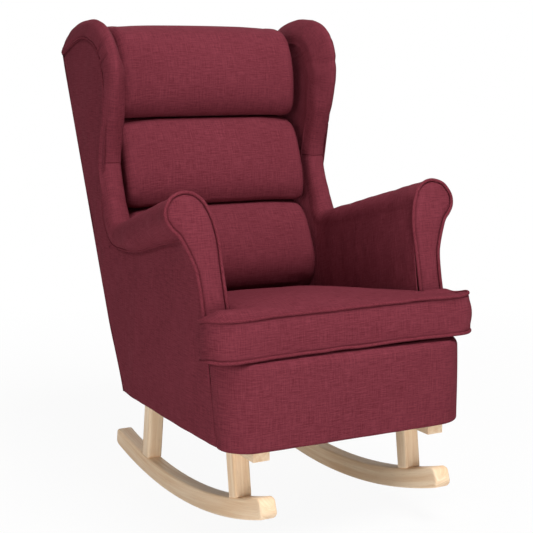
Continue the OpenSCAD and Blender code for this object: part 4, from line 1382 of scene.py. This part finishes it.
@dataclass
class TopStrip:
    """The strip of cloth that closes the back's top between the upper bolster and one wing."""

    side: Side
    reach_x: tuple[float, float] = (0.190, 0.2405)
    line: tuple = ((0.836, 0.0085), (0.834, 0.0200), (0.826, 0.0400), (0.808, 0.054), (0.770, 0.0585),
                   (0.700, 0.059), (0.620, 0.059))

    def build(self, palette: Palette) -> None:
        """Makes the strip: over the back's upper rail, then down in front of its post.

        Args:
            palette: The chair's finishes.
        """
        run = even(spline(self.line, 8), 50)
        x, w = np.meshgrid(np.linspace(*self.reach_x, 24), run[:, 0])
        obj = grid_object(f"back_top_strip_{self.side.word}", place(SEAT.back(w, run[:, 1:]), x),
                          stacked(x, lengths(run)[:, None]), self.side)
        palette.upholster(obj, (0.215 * self.side.value, 0.30, 0.80), (), 0.3, PANEL_COVER)


@dataclass
class Bolster:
    """One roll-shaped back cushion: a profile carried across the chair, drawn in towards its two ends."""

    node: str
    half: float
    front: tuple
    over_top: bool = False
    shift: float = 0.0
    behind: float = 0.056
    end_radius: float = 0.026
    end_depth: float = 0.022
    sag: float = 0.008
    foot: int = 16
    foot_hold: float = 0.014
    swell: Swell = Swell()

    def profile(self) -> tuple[Array, Array]:
        """The section half way along the bolster.

        Returns:
            The closed outline, and how much of the ends' rounding each of its points takes.
        """
        count = 90
        front = even(spline(self.front, 12), count)
        if self.over_top:
            w = SEAT.up(front[-1]) - np.array([0.006, 0.010, 0.012, 0.014])
            rear = SEAT.back(w, [0.010, 0.012, 0.03, self.behind])
        else:
            rear = SEAT.back([SEAT.up_at(self.front[-1][1], self.behind)], self.behind)
        foot = SEAT.back([SEAT.up_at(self.front[0][1], self.behind)], self.behind)
        back = even(np.vstack([rear, foot]), 40)
        join_top = even(np.vstack([front[-1:], back[:1]]), 10)[1:-1]
        join_low = even(np.vstack([back[-1:], front[:1]]), 16)[1:]
        outline = np.vstack([front, join_top, back, join_low])
        share = np.concatenate([np.ones(count), np.zeros(len(outline) - count)])
        share[:self.foot] = np.linspace(0.25, 1, self.foot)
        if self.over_top:
            share[46:count] = np.linspace(1, 0.1, count - 46)
        share = np.convolve(np.pad(share, 6, mode="wrap"), np.ones(13) / 13, "valid")
        share[-1] = share[0]
        return outline, share

    def build(self, palette: Palette) -> None:
        """Makes the bolster and swells it.

        The profile is drawn in by a quarter circle at each end, and its ends sag a little.

        Args:
            palette: The chair's finishes.
        """
        outline, share = self.profile()
        turn, r = np.linspace(0, np.pi / 2, 9), self.end_radius
        steps = np.concatenate([r * (1 - np.sin(turn[::-1])), np.linspace(r, 2 * self.half - r, 84)[1:-1],
                                2 * self.half - r * (1 - np.sin(turn))])
        x = steps - self.half
        pull = fall(np.minimum(steps, 2 * self.half - steps), r) * self.end_depth / r
        ends_low = self.sag * np.clip((np.abs(x) / self.half - 0.5) / 0.5, 0, 1) ** 1.7
        points = outline[None] - outward(outline, True)[None] * (pull[:, None] * share[None])[..., None]
        points[..., 1] -= ends_low[:, None] * share[None]
        x = x + self.shift
        middles = place(np.tile(outline.mean(0), (len(x), 1)), x)
        grid = closed_ends(place(points, x[:, None]), middles, (0.0, 0.5, 0.8))
        rows = np.pad(x, 3, mode="edge")[:, None]
        obj = grid_object(self.node + "_cover", grid, stacked(rows, lengths(outline)[None]))
        self.swell.run(obj, self.held)
        Fit(Body.CHAIR, "upholstery", (self.node,), 0.8).apply(obj, palette.upholstery)

    def held(self, points: Array) -> Array:
        """How firmly points are held: fully at the webbing, in the creases and at the two ends.

        Args:
            points: Points of the bolster.

        Returns:
            From 0, free, to 1, held.
        """
        rear = ease((self.behind + 0.03 - SEAT.ahead(points[:, 1:])) / 0.02)
        ends = ease((np.abs(points[:, 0] - self.shift) - self.half + 0.034) / 0.024)
        low, high = (np.abs(points[:, 2] - self.front[k][1]) for k in (0, -1))
        crease = np.maximum(ease((self.foot_hold - low) / 0.012),
                            ease(((0.0 if self.over_top else 0.014) - high) / 0.012))
        return np.maximum(np.maximum(rear, ends), crease)


# ---- cushion, deck and underside


def rounded(corners: list, count: int) -> Array:
    """A closed outline with rounded corners, evenly stepped.

    Args:
        corners: Rows of x, y and radius, in order round the outline.
        count: Points in the outline.

    Returns:
        The outline; its last point is its first.
    """
    c = np.array(corners, float)
    parts = []
    for before, here, after in zip(np.roll(c, 1, 0), c, np.roll(c, -1, 0)):
        a, b = unit(before[:2] - here[:2]), unit(after[:2] - here[:2])
        half = math.acos(float(np.clip(a @ b, -1, 1))) / 2
        centre = here[:2] + unit(a + b) * here[2] / math.sin(half)
        start, end = (math.atan2(*(here[:2] + v * here[2] / math.tan(half) - centre)[::-1]) for v in (a, b))
        turn = (end - start + math.pi) % (2 * math.pi) - math.pi
        angle = start + turn * np.linspace(0, 1, 24)
        parts.append(centre + here[2] * stacked(np.cos(angle), np.sin(angle)))
    line = np.vstack([*parts, parts[0][:1]])
    return even(line, count)


@dataclass
class Pad:
    """A boxed pad over a plan outline: rings shrink to a middle point on its top and its underside."""

    outline: Array
    middle: tuple[float, float]
    rings: int = 56

    def shell(self, rise: Callable[[Array, Array], Array], up: bool) -> Array:
        """Rings of one face, shrinking from the border to the middle.

        Args:
            rise: Function from places and their distances from the border to heights.
            up: Whether this is the top, whose first ring is the border.

        Returns:
            The rings, in the order that the whole pad needs.
        """
        share = 1 - np.linspace(0, 1, self.rings) ** 1.4
        centre = np.array(self.middle)
        xy = centre + (self.outline - centre)[None] * share[:, None, None]
        rings = stacked(xy[..., 0], xy[..., 1], rise(xy, distance_to(xy, self.outline)))
        return rings if up else rings[::-1]

    def border(self, z: Array, bulge: Array) -> Array:
        """Rows of the border.

        Args:
            z: Heights, one for each row or one for each point.
            bulge: How far each point is moved out.

        Returns:
            The rows, from the lowest up.
        """
        xy = self.outline[None] + outward(self.outline, True)[None] * bulge[..., None]
        return stacked(xy[..., 0], xy[..., 1], z)


@dataclass
class SeatCushion:
    """The loose T-shaped seat cushion: crowned top, bulging border, two cords and a zip."""

    ear_x: float = 0.2945
    neck_x: float = 0.2105
    front_y: float = -0.429
    ear_y: float = -0.3455
    rear_y: float = 0.111
    low_z: float = 0.3805
    seam_low: float = 0.3832
    seam_high: float = 0.4592
    crown: float = 0.022
    lean: float = 0.035
    droop: float = 0.008
    rear_drop: float = 0.048
    hollow: float = 0.010
    set_back: float = 0.008
    curl: float = 0.006
    bulge: float = 0.0045
    cord: float = 0.0034
    swell: Swell = Swell(0.0075, 3.0, 0.008, 16, 18.0, 0.003)

    def outline(self) -> Array:
        """The T-shaped plan, a little hollow in front.

        Returns:
            Rows of x and y.
        """
        e, n = self.ear_x, self.neck_x
        line = rounded([(-n, self.rear_y, 0.024), (-n, self.ear_y, 0.010), (-e, self.ear_y, 0.012),
                        (-e, self.front_y, 0.052), (e, self.front_y, 0.052), (e, self.ear_y, 0.012),
                        (n, self.ear_y, 0.010), (n, self.rear_y, 0.024)], 620)
        line[:, 1] += self.hollow * (1 - (line[:, 0] / e) ** 2) * ease((self.ear_y - line[:, 1]) / 0.06)
        return line

    def settled(self, points: Array) -> Array:
        """The cushion's small irregularities.

        Its top is set back a little in front, its front left corner curls up and its two ears droop.

        Args:
            points: Points of the cushion as it was sewn.

        Returns:
            The moved points.
        """
        moved = points.copy()
        ahead = ease((self.ear_y - points[..., 1]) / 0.05)
        share = np.clip((points[..., 2] - self.seam_low) / (self.seam_high - self.seam_low), 0, 1)
        ear = ease((points[..., 1] + 0.40) / 0.055) * ease((np.abs(points[..., 0]) - 0.262) / 0.03)
        moved[..., 1] += self.set_back * share * ahead
        moved[..., 2] += self.curl * self.corner_share(points) - self.droop * ear
        return moved

    def corner_share(self, points: Array) -> Array:
        """How much of the corner's lift reaches each point."""
        return np.clip(points[..., 0] / self.ear_x * 0.5 + 0.5, 0, 1) * ease((-0.25 - points[..., 1]) / 0.12)

    def top(self, xy: Array, gap: Array) -> Array:
        """Height of the top: a quick rise beside the cord, then a slow crown that slopes down to the left.

        Args:
            xy: Places on the top.
            gap: Their distances from the border.

        Returns:
            The height at each place.
        """
        outline = self.outline()
        free = distance_to(xy, outline[outline[:, 1] < self.ear_y - 0.006])
        quick = (1 - np.exp(-free / 0.012)) * (1 - np.exp(-gap / 0.009))
        crown = self.crown * (0.35 * quick + 0.65 * ease(gap / 0.17))
        crown = crown - self.lean * xy[..., 0] * ease(gap / 0.03)
        soft = 0.001 * waves(xy[..., 0] + 0.4 * xy[..., 1], 61, 0.33) * np.clip(gap / 0.05, 0, 1)
        return self.seam_line(xy[..., 1]) + crown + soft

    def under(self, xy: Array, gap: Array) -> Array:
        """Height of the underside: it falls from the lower seam to its level middle."""
        return self.seam_low + (self.low_z - self.seam_low) * (1 - np.exp(-gap / 0.01))

    def seam_line(self, y: Array) -> Array:
        """Height of the upper seam: level round the front, then falling as the cushion thins to the rear."""
        return self.seam_high - self.rear_drop * ease((y + 0.34) / 0.46)

    def build(self, palette: Palette) -> None:
        """Makes the cushion, swells it and sews its cords and zip on.

        Args:
            palette: The chair's finishes.
        """
        outline = self.outline()
        pad = Pad(outline, (0.0, -0.378))
        q = np.linspace(0, 1, 14)[1:-1, None]
        z = self.seam_low + (self.seam_line(outline[:, 1]) - self.seam_low)[None] * q
        free = np.clip((self.ear_y - 0.004 - outline[:, 1]) / 0.02, 0.15, 1)
        ripple = 1 + 0.25 * waves(lengths(outline), 62, 0.31)
        fuller = 1 + 1.4 * ease((outline[:, 0] - 0.235) / 0.05)
        bulge = self.bulge * np.sin(np.pi * q) ** 0.8 * (free * ripple * fuller)[None]
        under = pad.shell(self.under, False)
        points = np.concatenate([under, pad.border(z, bulge), pad.shell(self.top, True)])
        flat = points[..., :2].copy()
        flat[len(under):len(under) + len(z)] = stacked(lengths(outline)[None], z)
        obj = grid_object("seat_cushion_cover", self.settled(points), flat)
        self.swell.run(obj, self.held)
        Fit(Body.CUSHION, "upholstery", ("seat_cushion",), 0.8).apply(obj, palette.upholstery)
        self.cords(palette, outline)
        self.zip(palette)

    def held(self, points: Array) -> Array:
        """How firmly points are held: fully at the two seams, underneath and round the neck.

        Args:
            points: Points of the settled cushion.

        Returns:
            From 0, free, to 1, held.
        """
        z = points[:, 2] - self.curl * self.corner_share(points)
        seam = np.minimum(np.abs(z - self.seam_low), np.abs(z - self.seam_line(points[:, 1])))
        edge = distance_to(points[:, :2], self.outline())
        sewn = ease((0.014 - seam) / 0.010) * ease((0.016 - edge) / 0.010)
        neck = ease((points[:, 1] - self.ear_y + 0.02) / 0.02) * ease((0.02 - edge) / 0.012)
        return np.maximum(np.maximum(sewn, neck), ease((self.seam_low + 0.004 - points[:, 2]) / 0.004))

    def cords(self, palette: Palette, outline: Array) -> None:
        """The two cords round the ears and the front.

        Args:
            palette: The chair's finishes.
            outline: The cushion's plan.
        """
        keep = outline[:-1, 1] < self.ear_y + 0.004
        start = int(np.argmax(keep & ~np.roll(keep, 1)))
        line = even(np.roll(outline[:-1], -start, 0)[:int(keep.sum())], 420)
        out = outward(line)
        for name, z, seed in (("top", self.seam_high + 0.0004, 71), ("bottom", self.seam_low - 0.0004, 72)):
            height = z + 0.001 * waves(lengths(line), seed, 0.27)
            path = self.settled(np.concatenate([line + out * 0.0012, height[:, None]], axis=1))
            cord = tube(f"cushion_cord_{name}", path, np.array([0, 0, 1.0]), self.cord)
            palette.sew_cord(cord, Body.CUSHION, f"cushion_piping_{name}")

    def zip(self, palette: Palette) -> None:
        """The zip in the rear border: a tape with a rounded row of teeth and a small puller.

        Args:
            palette: The chair's finishes.
        """
        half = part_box("cushion_zip")[1].x
        middle = (self.seam_low + self.seam_line(self.rear_y)) / 2
        x, v = np.linspace(-half, half, 341)[None], np.linspace(-0.010, 0.010, 25)[:, None]
        notch = 0.75 + 0.25 * np.sign(np.sin(2 * np.pi * x / 0.004))
        teeth = 0.0016 * np.exp(-(v / 0.0024) ** 2) * notch
        fold = 0.001 * np.exp(-((np.abs(v) - 0.0088) / 0.0012) ** 2)
        points = stacked(x, self.rear_y + 0.0009 + teeth + fold, middle + v)
        tape = grid_object("zip_tape", points, stacked(x, v))
        face_towards(tape, (0.0, -1.0, middle))
        thicken(tape, 0.0008)
        Fit(Body.CUSHION, "zip_tape", ("cushion_zip",)).apply(tape, palette.tape)
        t, angle = np.linspace(0, np.pi, 13)[:, None], np.linspace(0, 2 * np.pi, 17)[None]
        across, along = 0.0035 * np.sin(t) ** 0.7, 0.012 * np.cos(t)
        puller = stacked(half - 0.012 + along, self.rear_y + 0.0034 + 0.30 * across * np.sin(angle),
                         middle + across * np.cos(angle))
        Fit(Body.CUSHION, "zinc_steel").apply(grid_object("zip_puller", puller), palette.zinc)


@dataclass
class Deck:
    """The thin pad over the springs, and the black cloth tacked under the seat."""

    front_corner: float = 0.056
    rear_corner: float = 0.004
    staple_inset: float = 0.009
    staple_half: tuple[float, float, float] = (0.005, 0.0006, 0.0008)

    def pad(self, low: Vector, high: Vector, count: int, rings: int) -> Pad:
        """A pad over a box, with round front corners.

        Args:
            low: The box's lower corner.
            high: Its upper corner.
            count: Points round the pad.
            rings: Rings from its border to its middle.

        Returns:
            The pad.
        """
        corners = [(-high.x, high.y, self.rear_corner), (-high.x, low.y, self.front_corner),
                   (high.x, low.y, self.front_corner), (high.x, high.y, self.rear_corner)]
        return Pad(rounded(corners, count), (0.0, (low.y + high.y) / 2), rings)

    def build(self, palette: Palette) -> None:
        """Makes the deck pad and the dust cloth with its staples.

        Args:
            palette: The chair's finishes.
        """
        low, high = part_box("seat_deck")
        pad, depth = self.pad(low, high, 420, 40), high.z - low.z

        def top(xy: Array, gap: Array) -> Array:
            """Height of the top: a rounded edge, a stitched line round it and slow waves inside."""
            soft = (0.001 * waves(xy[..., 0], 81, 0.2) - 0.0012) * np.clip(gap / 0.05, 0, 1)
            return high.z - fall(gap + 0.002, 0.012) + soft - groove(gap - 0.035, 0.0018, 0.003)

        q = np.linspace(0, 1, 10)[1:-1, None]
        bulge = np.broadcast_to(-fall(np.minimum(q, 1 - q) * depth, 0.008), (len(q), len(pad.outline)))
        under = pad.shell(lambda xy, gap: low.z + fall(gap + 0.002, 0.008), False)
        points = np.concatenate([under, pad.border(low.z + q * depth, bulge), pad.shell(top, True)])
        obj = grid_object("deck_pad", points, points[..., :2])
        Fit(Body.CHAIR, "deck_cloth", ("seat_deck",), 0.4).apply(obj, palette.deck)
        self.dust_cloth(palette)

    def dust_cloth(self, palette: Palette) -> None:
        """A black cloth stretched under the frame, waving a little inside its edge.

        Args:
            palette: The chair's finishes.
        """
        low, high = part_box("dust_cover")
        pad = self.pad(low, high, 360, 36)

        def height(xy: Array, gap: Array) -> Array:
            """Height of the cloth: level, with slow waves away from its edge."""
            soft = 0.0004 * waves(xy[..., 0] + xy[..., 1], 82, 0.11)
            return low.z + 0.0004 + soft * np.clip(gap / 0.03, 0, 1)

        points = pad.shell(height, True)
        cloth = grid_object("dust_cloth", points, points[..., :2])
        staples = self.staples(pad.outline, low.z)
        Fit(Body.CHAIR, "dust_cloth", ("dust_cover",)).apply(cloth, palette.dust)
        Fit(Body.CHAIR, "zinc_steel").apply(staples, palette.zinc)

    def staples(self, outline: Array, z: float) -> Piece:
        """Staples at even steps round the cloth, in from its edge: low bars, each a box of eight corners.

        Args:
            outline: The cloth's outline.
            z: Height of the frame's underside.

        Returns:
            All the staples as one piece.
        """
        ring = even(outline, 63)
        along, out = heading(ring, True)[:-1], outward(ring, True)[:-1]
        spots = ring[:-1] - out * self.staple_inset
        box = np.array([(i, j, k) for i in (-1, 1) for j in (-1, 1) for k in (0, 1)], float)
        size = box * self.staple_half
        corners = spots[:, None] + along[:, None] * size[None, :, :1] + out[:, None] * size[None, :, 1:2]
        points = stacked(corners[..., 0], corners[..., 1], z + 0.0002 - size[None, :, 2])
        sides = [(0, 1, 3, 2), (4, 6, 7, 5), (0, 4, 5, 1), (2, 3, 7, 6), (0, 2, 6, 4), (1, 5, 7, 3)]
        faces = np.array(sides)[None] + len(box) * np.arange(len(spots))[:, None, None]
        mesh = bpy.data.meshes.new("staples")
        mesh.from_pydata(points.reshape(-1, 3), [], faces.reshape(-1, 4).tolist())
        obj = link(bpy.data.objects.new("staples", mesh))
        tidy(obj, 1e-6)
        obj.data.shade_flat()
        return obj


# ---- wood


def bar(name: str, centres: Array, across: Array, upward: Array, half_w: Array | float,
        half_h: Array | float, radius: float, side: Side, grain_from: float = 0.0) -> Piece:
    """A wooden bar: a rectangle with rounded corners carried along a line, closed at both ends.

    Args:
        name: The piece's name.
        centres: Middle of each section.
        across: Direction of the section's width, one for all or one row each.
        upward: Direction of its height, in the same way.
        half_w: Half of the section's width, in the same way.
        half_h: Half of the section's height, in the same way.
        radius: Radius of its long edges.
        side: The right side is the mirror image.
        grain_from: Offset of the grain along the bar.

    Returns:
        The new object.
    """
    turn = np.linspace(0, np.pi / 2, 6)
    quarter = stacked(np.cos(turn), np.sin(turn))
    signs = np.array([(1, 1), (-1, 1), (-1, -1), (1, -1)])
    half = stacked(half_w, half_h, np.zeros(len(centres)))[:, :2]
    r = np.minimum(radius, half.min(1) * 0.98)[:, None]
    ring = np.concatenate([sign * ((half - r)[:, None] + r[:, None] * corner[None]) for sign, corner in zip(
        signs, (quarter, quarter[::-1], quarter, quarter[::-1]))], axis=1)
    ring = np.concatenate([ring, ring[:, :1]], axis=1)
    across, upward = (np.broadcast_to(v, centres.shape)[:, None] for v in (across, upward))
    points = centres[:, None] + across * ring[..., :1] + upward * ring[..., 1:]
    around = run_lengths(points, 1)
    uv = stacked(around - around[:, :1], lengths(centres)[:, None] + grain_from)
    uv = np.concatenate([uv[:1] * [0.2, 1] - [0, 0.02], uv[:1] - [0, 0.004], uv, uv[-1:] + [0, 0.004],
                         uv[-1:] * [0.2, 1] + [0, 0.02]])
    return grid_object(name, closed_ends(points, centres, (0.0, 0.6)), uv, side)


@dataclass
class RockerFrame:
    """One side's bent rocker and its two leaning legs."""

    side: Side
    x: float = 0.198
    low_y: float = 0.044
    radius: float = 1.520
    depth: float = 0.042
    half_w: float = 0.0175
    end_radius: float = 0.017
    end_narrowing: float = 0.0068
    edge: float = 0.005
    from_angle: float = -19.0
    to_angle: float = 11.2
    leg_half: float = 0.0185
    rail_z: float = 0.184
    legs: tuple = (("front", -0.307, -7.5), ("rear", 0.122, 11.0))

    def build(self, palette: Palette) -> None:
        """Makes the rocker, its legs and the plugs over its screws.

        The rocker is a bar along an arc, drawn in at its ends by quarter circles.

        Args:
            palette: The chair's finishes.
        """
        first = 0 if self.side is Side.RIGHT else 2
        woods = palette.rubberwood[first:] + palette.rubberwood[:first]
        middle, r = self.radius - self.depth / 2, self.end_radius
        total = middle * math.radians(self.to_angle - self.from_angle)
        near = r * (1 - np.cos(np.linspace(0, np.pi / 2, 12)))
        s = np.concatenate([near, np.linspace(r, total - r, 110)[1:-1], total - near[::-1]])
        angle = math.radians(self.from_angle) + s / middle
        upward = stacked(0.0, -np.sin(angle), np.cos(angle))
        centres = np.array([self.x, self.low_y, self.radius]) - middle * upward
        end = np.minimum(s, total - s)
        half_w, half_h = self.half_w - fall(end, self.end_narrowing), self.depth / 2 - fall(end, r)
        rocker = bar(f"rocker_bar_{self.side.word}", centres, ACROSS, upward, half_w, half_h, self.edge,
                     self.side)
        Fit(Body.CHAIR, "rubberwood", (f"rocker_{self.side.word}",)).apply(rocker, woods[0])
        for (word, y, lean), wood in zip(self.legs, woods[1:]):
            self.leg(word, y, math.radians(lean), wood)
        self.plugs(woods[3])

    def foot(self, start: Array, down: Array) -> Array:
        """Distance from points down to the rocker's top arc."""
        q = start - np.array([self.low_y, self.radius])
        ahead = (q * down).sum(-1)
        return -ahead + np.sqrt(ahead**2 - (q**2).sum(-1) + (self.radius - self.depth) ** 2)

    def leg(self, word: str, y: float, lean: float, material: Material) -> None:
        """One leg: a straight bar, whose ends are then cut to the rocker's arc below and to the rail above.

        Args:
            word: Which leg of the side it is.
            y: Where the leg's middle line meets the rail.
            lean: The leg's lean from upright.
            material: Its timber.
        """
        rise = np.array([-math.sin(lean), math.cos(lean)])
        step = np.array([math.cos(lean), math.sin(lean)])
        top = np.array([y, self.rail_z])
        centres = top - rise * (self.foot(top, -rise) * np.linspace(1, 0, 26))[:, None]
        obj = bar(f"leg_{word}_{self.side.word}", place(centres, self.x), ACROSS, np.array([0, *step]),
                  self.half_w, self.leg_half, self.edge, self.side, 0.3 if word == "front" else 0.7)
        co = coordinates(obj)
        b = (co[:, 1:] - top) @ step
        start = top + b[:, None] * step
        reach, cut = self.foot(start, -rise), b * math.tan(lean)
        share = ((co[:, 1:] - centres[0]) @ rise) / np.linalg.norm(centres[-1] - centres[0])
        along = np.clip(share, 0, 1) * (reach - cut) - reach
        co[:, 1:] = start + rise * along[:, None]
        set_coordinates(obj, co)
        Fit(Body.CHAIR, "rubberwood", (f"{word}_leg_{self.side.word}",)).apply(obj, material)

    def plugs(self, material: Material) -> None:
        """Wooden plugs in the rocker's underside, one under each leg: a profile turned round its axis.

        Args:
            material: Their timber.
        """
        angle = np.linspace(0, 2 * np.pi, 25)[None]
        profile = np.array([(0.0, -0.001), (0.0062, -0.001), (0.0062, 0.0), (0.0058, 0.0004), (0.0, 0.0005)])
        across, height = profile[:, :1], profile[:, 1:]
        centre = np.array([self.low_y, self.radius])
        for word, y, lean in self.legs:
            rise = np.array([-math.sin(math.radians(lean)), math.cos(math.radians(lean))])
            top = np.array([y, self.rail_z])
            outward_y, outward_z = unit(top - rise * (self.foot(top, -rise) + self.depth) - centre)
            aside, out = across * np.sin(angle), self.radius + height
            ring = stacked(self.low_y + outward_y * out - outward_z * aside,
                           self.radius + outward_z * out + outward_y * aside)
            points = place(ring, self.x + across * np.cos(angle))
            obj = grid_object(f"plug_{word}_{self.side.word}", points, ring, self.side)
            Fit(Body.CHAIR, "rubberwood").apply(obj, material)


METAL_NODES = ("leg_screws", "rail_screws", "base_bolts", "bolt_washers", "insert_nuts", "frame_screws")
SPRING_NODES = ("seat_springs", "spring_clips")
BOARD_NODES = ("seat_front", "seat_rear", "seat_side", "runner", "corner_blocks", "arm_post", "arm_board",
               "back_post", "back_lower", "back_middle", "back_upper", "wing_board", "leg_dowels")


def dress_frame(palette: Palette) -> None:
    """Gives every node of the hidden frame its own finish, a board's by its longest direction.

    Args:
        palette: The chair's finishes.
    """
    finishes = ((METAL_NODES, palette.zinc), (SPRING_NODES, palette.spring),
                ("back_webbing", palette.webbing), ("top_rail", palette.rail))
    for name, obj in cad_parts.items():
        found = [finish for words, finish in finishes if name.startswith(words)]
        if name.startswith(BOARD_NODES):
            low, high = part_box(name)
            found = [palette.board_along[int(np.argmax(np.array(high - low)))]]
        if found:
            obj.data.materials.clear()
            obj.data.materials.append(found[0])


# ---- studio


@dataclass
class Studio:
    """Plain pale floor, soft lights and the camera."""

    lens: float = 83.45
    eye: tuple[float, float, float] = (-1.2126, -2.4307, 0.8906)
    yaw: float = -27.026
    pitch: float = 8.404
    roll: float = -0.460
    floor_white: float = 0.935

    def build(self) -> None:
        """Sets up the whole studio."""
        self.camera()
        self.world()
        self.floor()
        self.lamp("key", (0.32, -1.85, 3.65), 1.8, 130.0)
        self.lamp("front", (-0.9, -3.3, 0.40), 1.2, 36.0, 0.08)
        self.lamp("fill", (-3.2, -1.2, 0.9), 2.0, 30.0, 0.3)
        self.lamp("rear", (0.6, 2.8, 2.4), 2.4, 30.0)
        bpy.context.scene.view_settings.view_transform = "Standard"

    def camera(self) -> None:
        """The camera, turned by yaw and pitch about the chair and a little about its own axis."""
        a, e, r = (math.radians(v) for v in (self.yaw, self.pitch, self.roll))
        back = Vector((math.sin(a) * math.cos(e), -math.cos(a) * math.cos(e), math.sin(e)))
        right = Vector((math.cos(a), math.sin(a), 0.0))
        up = back.cross(right)
        turned = (right * math.cos(r) + up * math.sin(r), up * math.cos(r) - right * math.sin(r), back)
        data = bpy.data.cameras.new("camera")
        data.lens, data.sensor_width, data.clip_end = self.lens, 36.0, 60.0
        camera = link(bpy.data.objects.new("camera", data))
        camera.matrix_world = Matrix.Translation(self.eye) @ Matrix(turned).transposed().to_4x4()
        bpy.context.scene.camera = camera

    def lamp(self, name: str, at: tuple[float, float, float], size: float, power: float,
             aim: float = 0.5) -> None:
        """A square soft light.

        Args:
            name: The light's name.
            at: Where it stands.
            size: Length of its sides.
            power: Its power in watts.
            aim: Height on the chair's middle line that it faces.
        """
        data = bpy.data.lights.new(name, "AREA")
        data.shape, data.size, data.energy = "SQUARE", size, power
        lamp = link(bpy.data.objects.new(name, data))
        lamp.location = at
        lamp.rotation_euler = (Vector((0, 0, aim)) - Vector(at)).to_track_quat("-Z", "Y").to_euler()

    def seen(self, wiring: Wiring) -> Socket:
        """1 for rays from the camera, for mirrored rays and for rays through glass."""
        path = wiring.add("LightPath")
        return wiring.maths("MAXIMUM", path.outputs["Is Camera Ray"], wiring.maths(
            "MAXIMUM", path.outputs["Is Glossy Ray"], path.outputs["Is Transmission Ray"]))

    def world(self) -> None:
        """A soft grey world that is plain white where it is seen."""
        world = bpy.data.worlds.new("studio")
        bpy.context.scene.world = world
        world.use_nodes = True
        wiring = Wiring(world.node_tree)
        ambient = wiring.add("Background", {"Color": (1.0, 0.985, 0.97, 1.0), "Strength": 0.18})
        white = wiring.add("Background", {"Color": (1.0, 1.0, 1.0, 1.0), "Strength": 1.0})
        both = wiring.add("MixShader", {0: self.seen(wiring), 1: ambient.outputs[0], 2: white.outputs[0]})
        wiring.add("OutputWorld", {"Surface": both.outputs[0]})

    def floor(self) -> None:
        """A pale floor that fades into the white backdrop and keeps the chair's shadow."""
        angle = np.linspace(0, 2 * np.pi, 65)[None]
        radius = np.array([0.0, 1.0, 2.0, 4.0, 9.0])[:, None]
        floor = grid_object("floor", stacked(radius * np.cos(angle), radius * np.sin(angle), -0.0006))
        if floor.data.polygons[0].normal.z < 0:
            floor.data.flip_normals()
        material, wiring = new_material("floor")
        at = wiring.add("TexCoord").outputs["Object"]
        out = wiring.add("VectorMath", {0: at}, operation="LENGTH").outputs["Value"]
        far = wiring.ramp(out, 0.9, 2.4)
        pale = wiring.add("BsdfDiffuse", {"Color": (0.80, 0.795, 0.79, 1.0)})
        white = wiring.add("Emission", {"Color": (1.0, 1.0, 1.0, 1.0), "Strength": 1.0})
        share = wiring.maths("MULTIPLY_ADD", far, 1 - self.floor_white, self.floor_white)
        both = wiring.add("MixShader", {0: wiring.maths("MULTIPLY", self.seen(wiring), share),
                                        1: pale.outputs[0], 2: white.outputs[0]})
        wiring.add("OutputMaterial", {"Surface": both.outputs[0]})
        floor.data.materials.append(material)


# ---- the chair


SETTLE = {Side.RIGHT: (0.015, 0.001), Side.LEFT: (-0.001, 0.009)}  # how each wing's top has moved, as y and z

BOLSTERS = (
    Bolster("bolster_lower", 0.2225, (
        (0.149, 0.3805), (0.148, 0.396), (0.142, 0.411), (0.129, 0.427), (0.117, 0.445), (0.1105, 0.470),
        (0.1125, 0.501), (0.132, 0.545), (0.150, 0.578), (0.170, 0.6005), (0.188, 0.6105), (0.212, 0.6135)),
            sag=0.006, foot=40, foot_hold=0.036),
    Bolster("bolster_middle", 0.226, (
        (0.214, 0.6155), (0.196, 0.6168), (0.1815, 0.6235), (0.1735, 0.636), (0.169, 0.655), (0.1705, 0.680),
        (0.1785, 0.712), (0.191, 0.748), (0.206, 0.781), (0.222, 0.8015), (0.240, 0.8115), (0.262, 0.8145)),
            shift=-0.002),
    Bolster("bolster_upper", 0.2215, (
        (0.264, 0.8165), (0.244, 0.8178), (0.2285, 0.8245), (0.2175, 0.836), (0.2100, 0.853), (0.2065, 0.875),
        (0.206, 0.905), (0.210, 0.937), (0.222, 0.976), (0.246, 1.012), (0.288, 1.029), (0.368, 1.030),
        (0.425, 1.013), (0.465, 0.986)), over_top=True, shift=-0.003),
)


def main() -> None:
    """Builds the chair's covers, cushion, wood and studio in order."""
    logging.basicConfig(level=logging.INFO, format="%(name)s: %(message)s", stream=sys.stdout)
    Studio().build()
    palette = Palette()
    for side in Side:
        sleeve, facing = Sleeve(side, settle=SETTLE[side]), Facing(side)
        sleeve.build(palette)
        ArmBoard(side).build(palette)
        WingBoard(side, sleeve).build(palette)
        TopStrip(side).build(palette)
        facing.build(palette)
        SideCover(side, sleeve, facing).build(palette)
        RockerFrame(side).build(palette)
    BaseFront().build(palette)
    BackCover().build(palette)
    for bolster in BOLSTERS:
        bolster.build(palette)
    Deck().build(palette)
    SeatCushion().build(palette)
    dress_frame(palette)


if __name__ == "__main__":
    main()
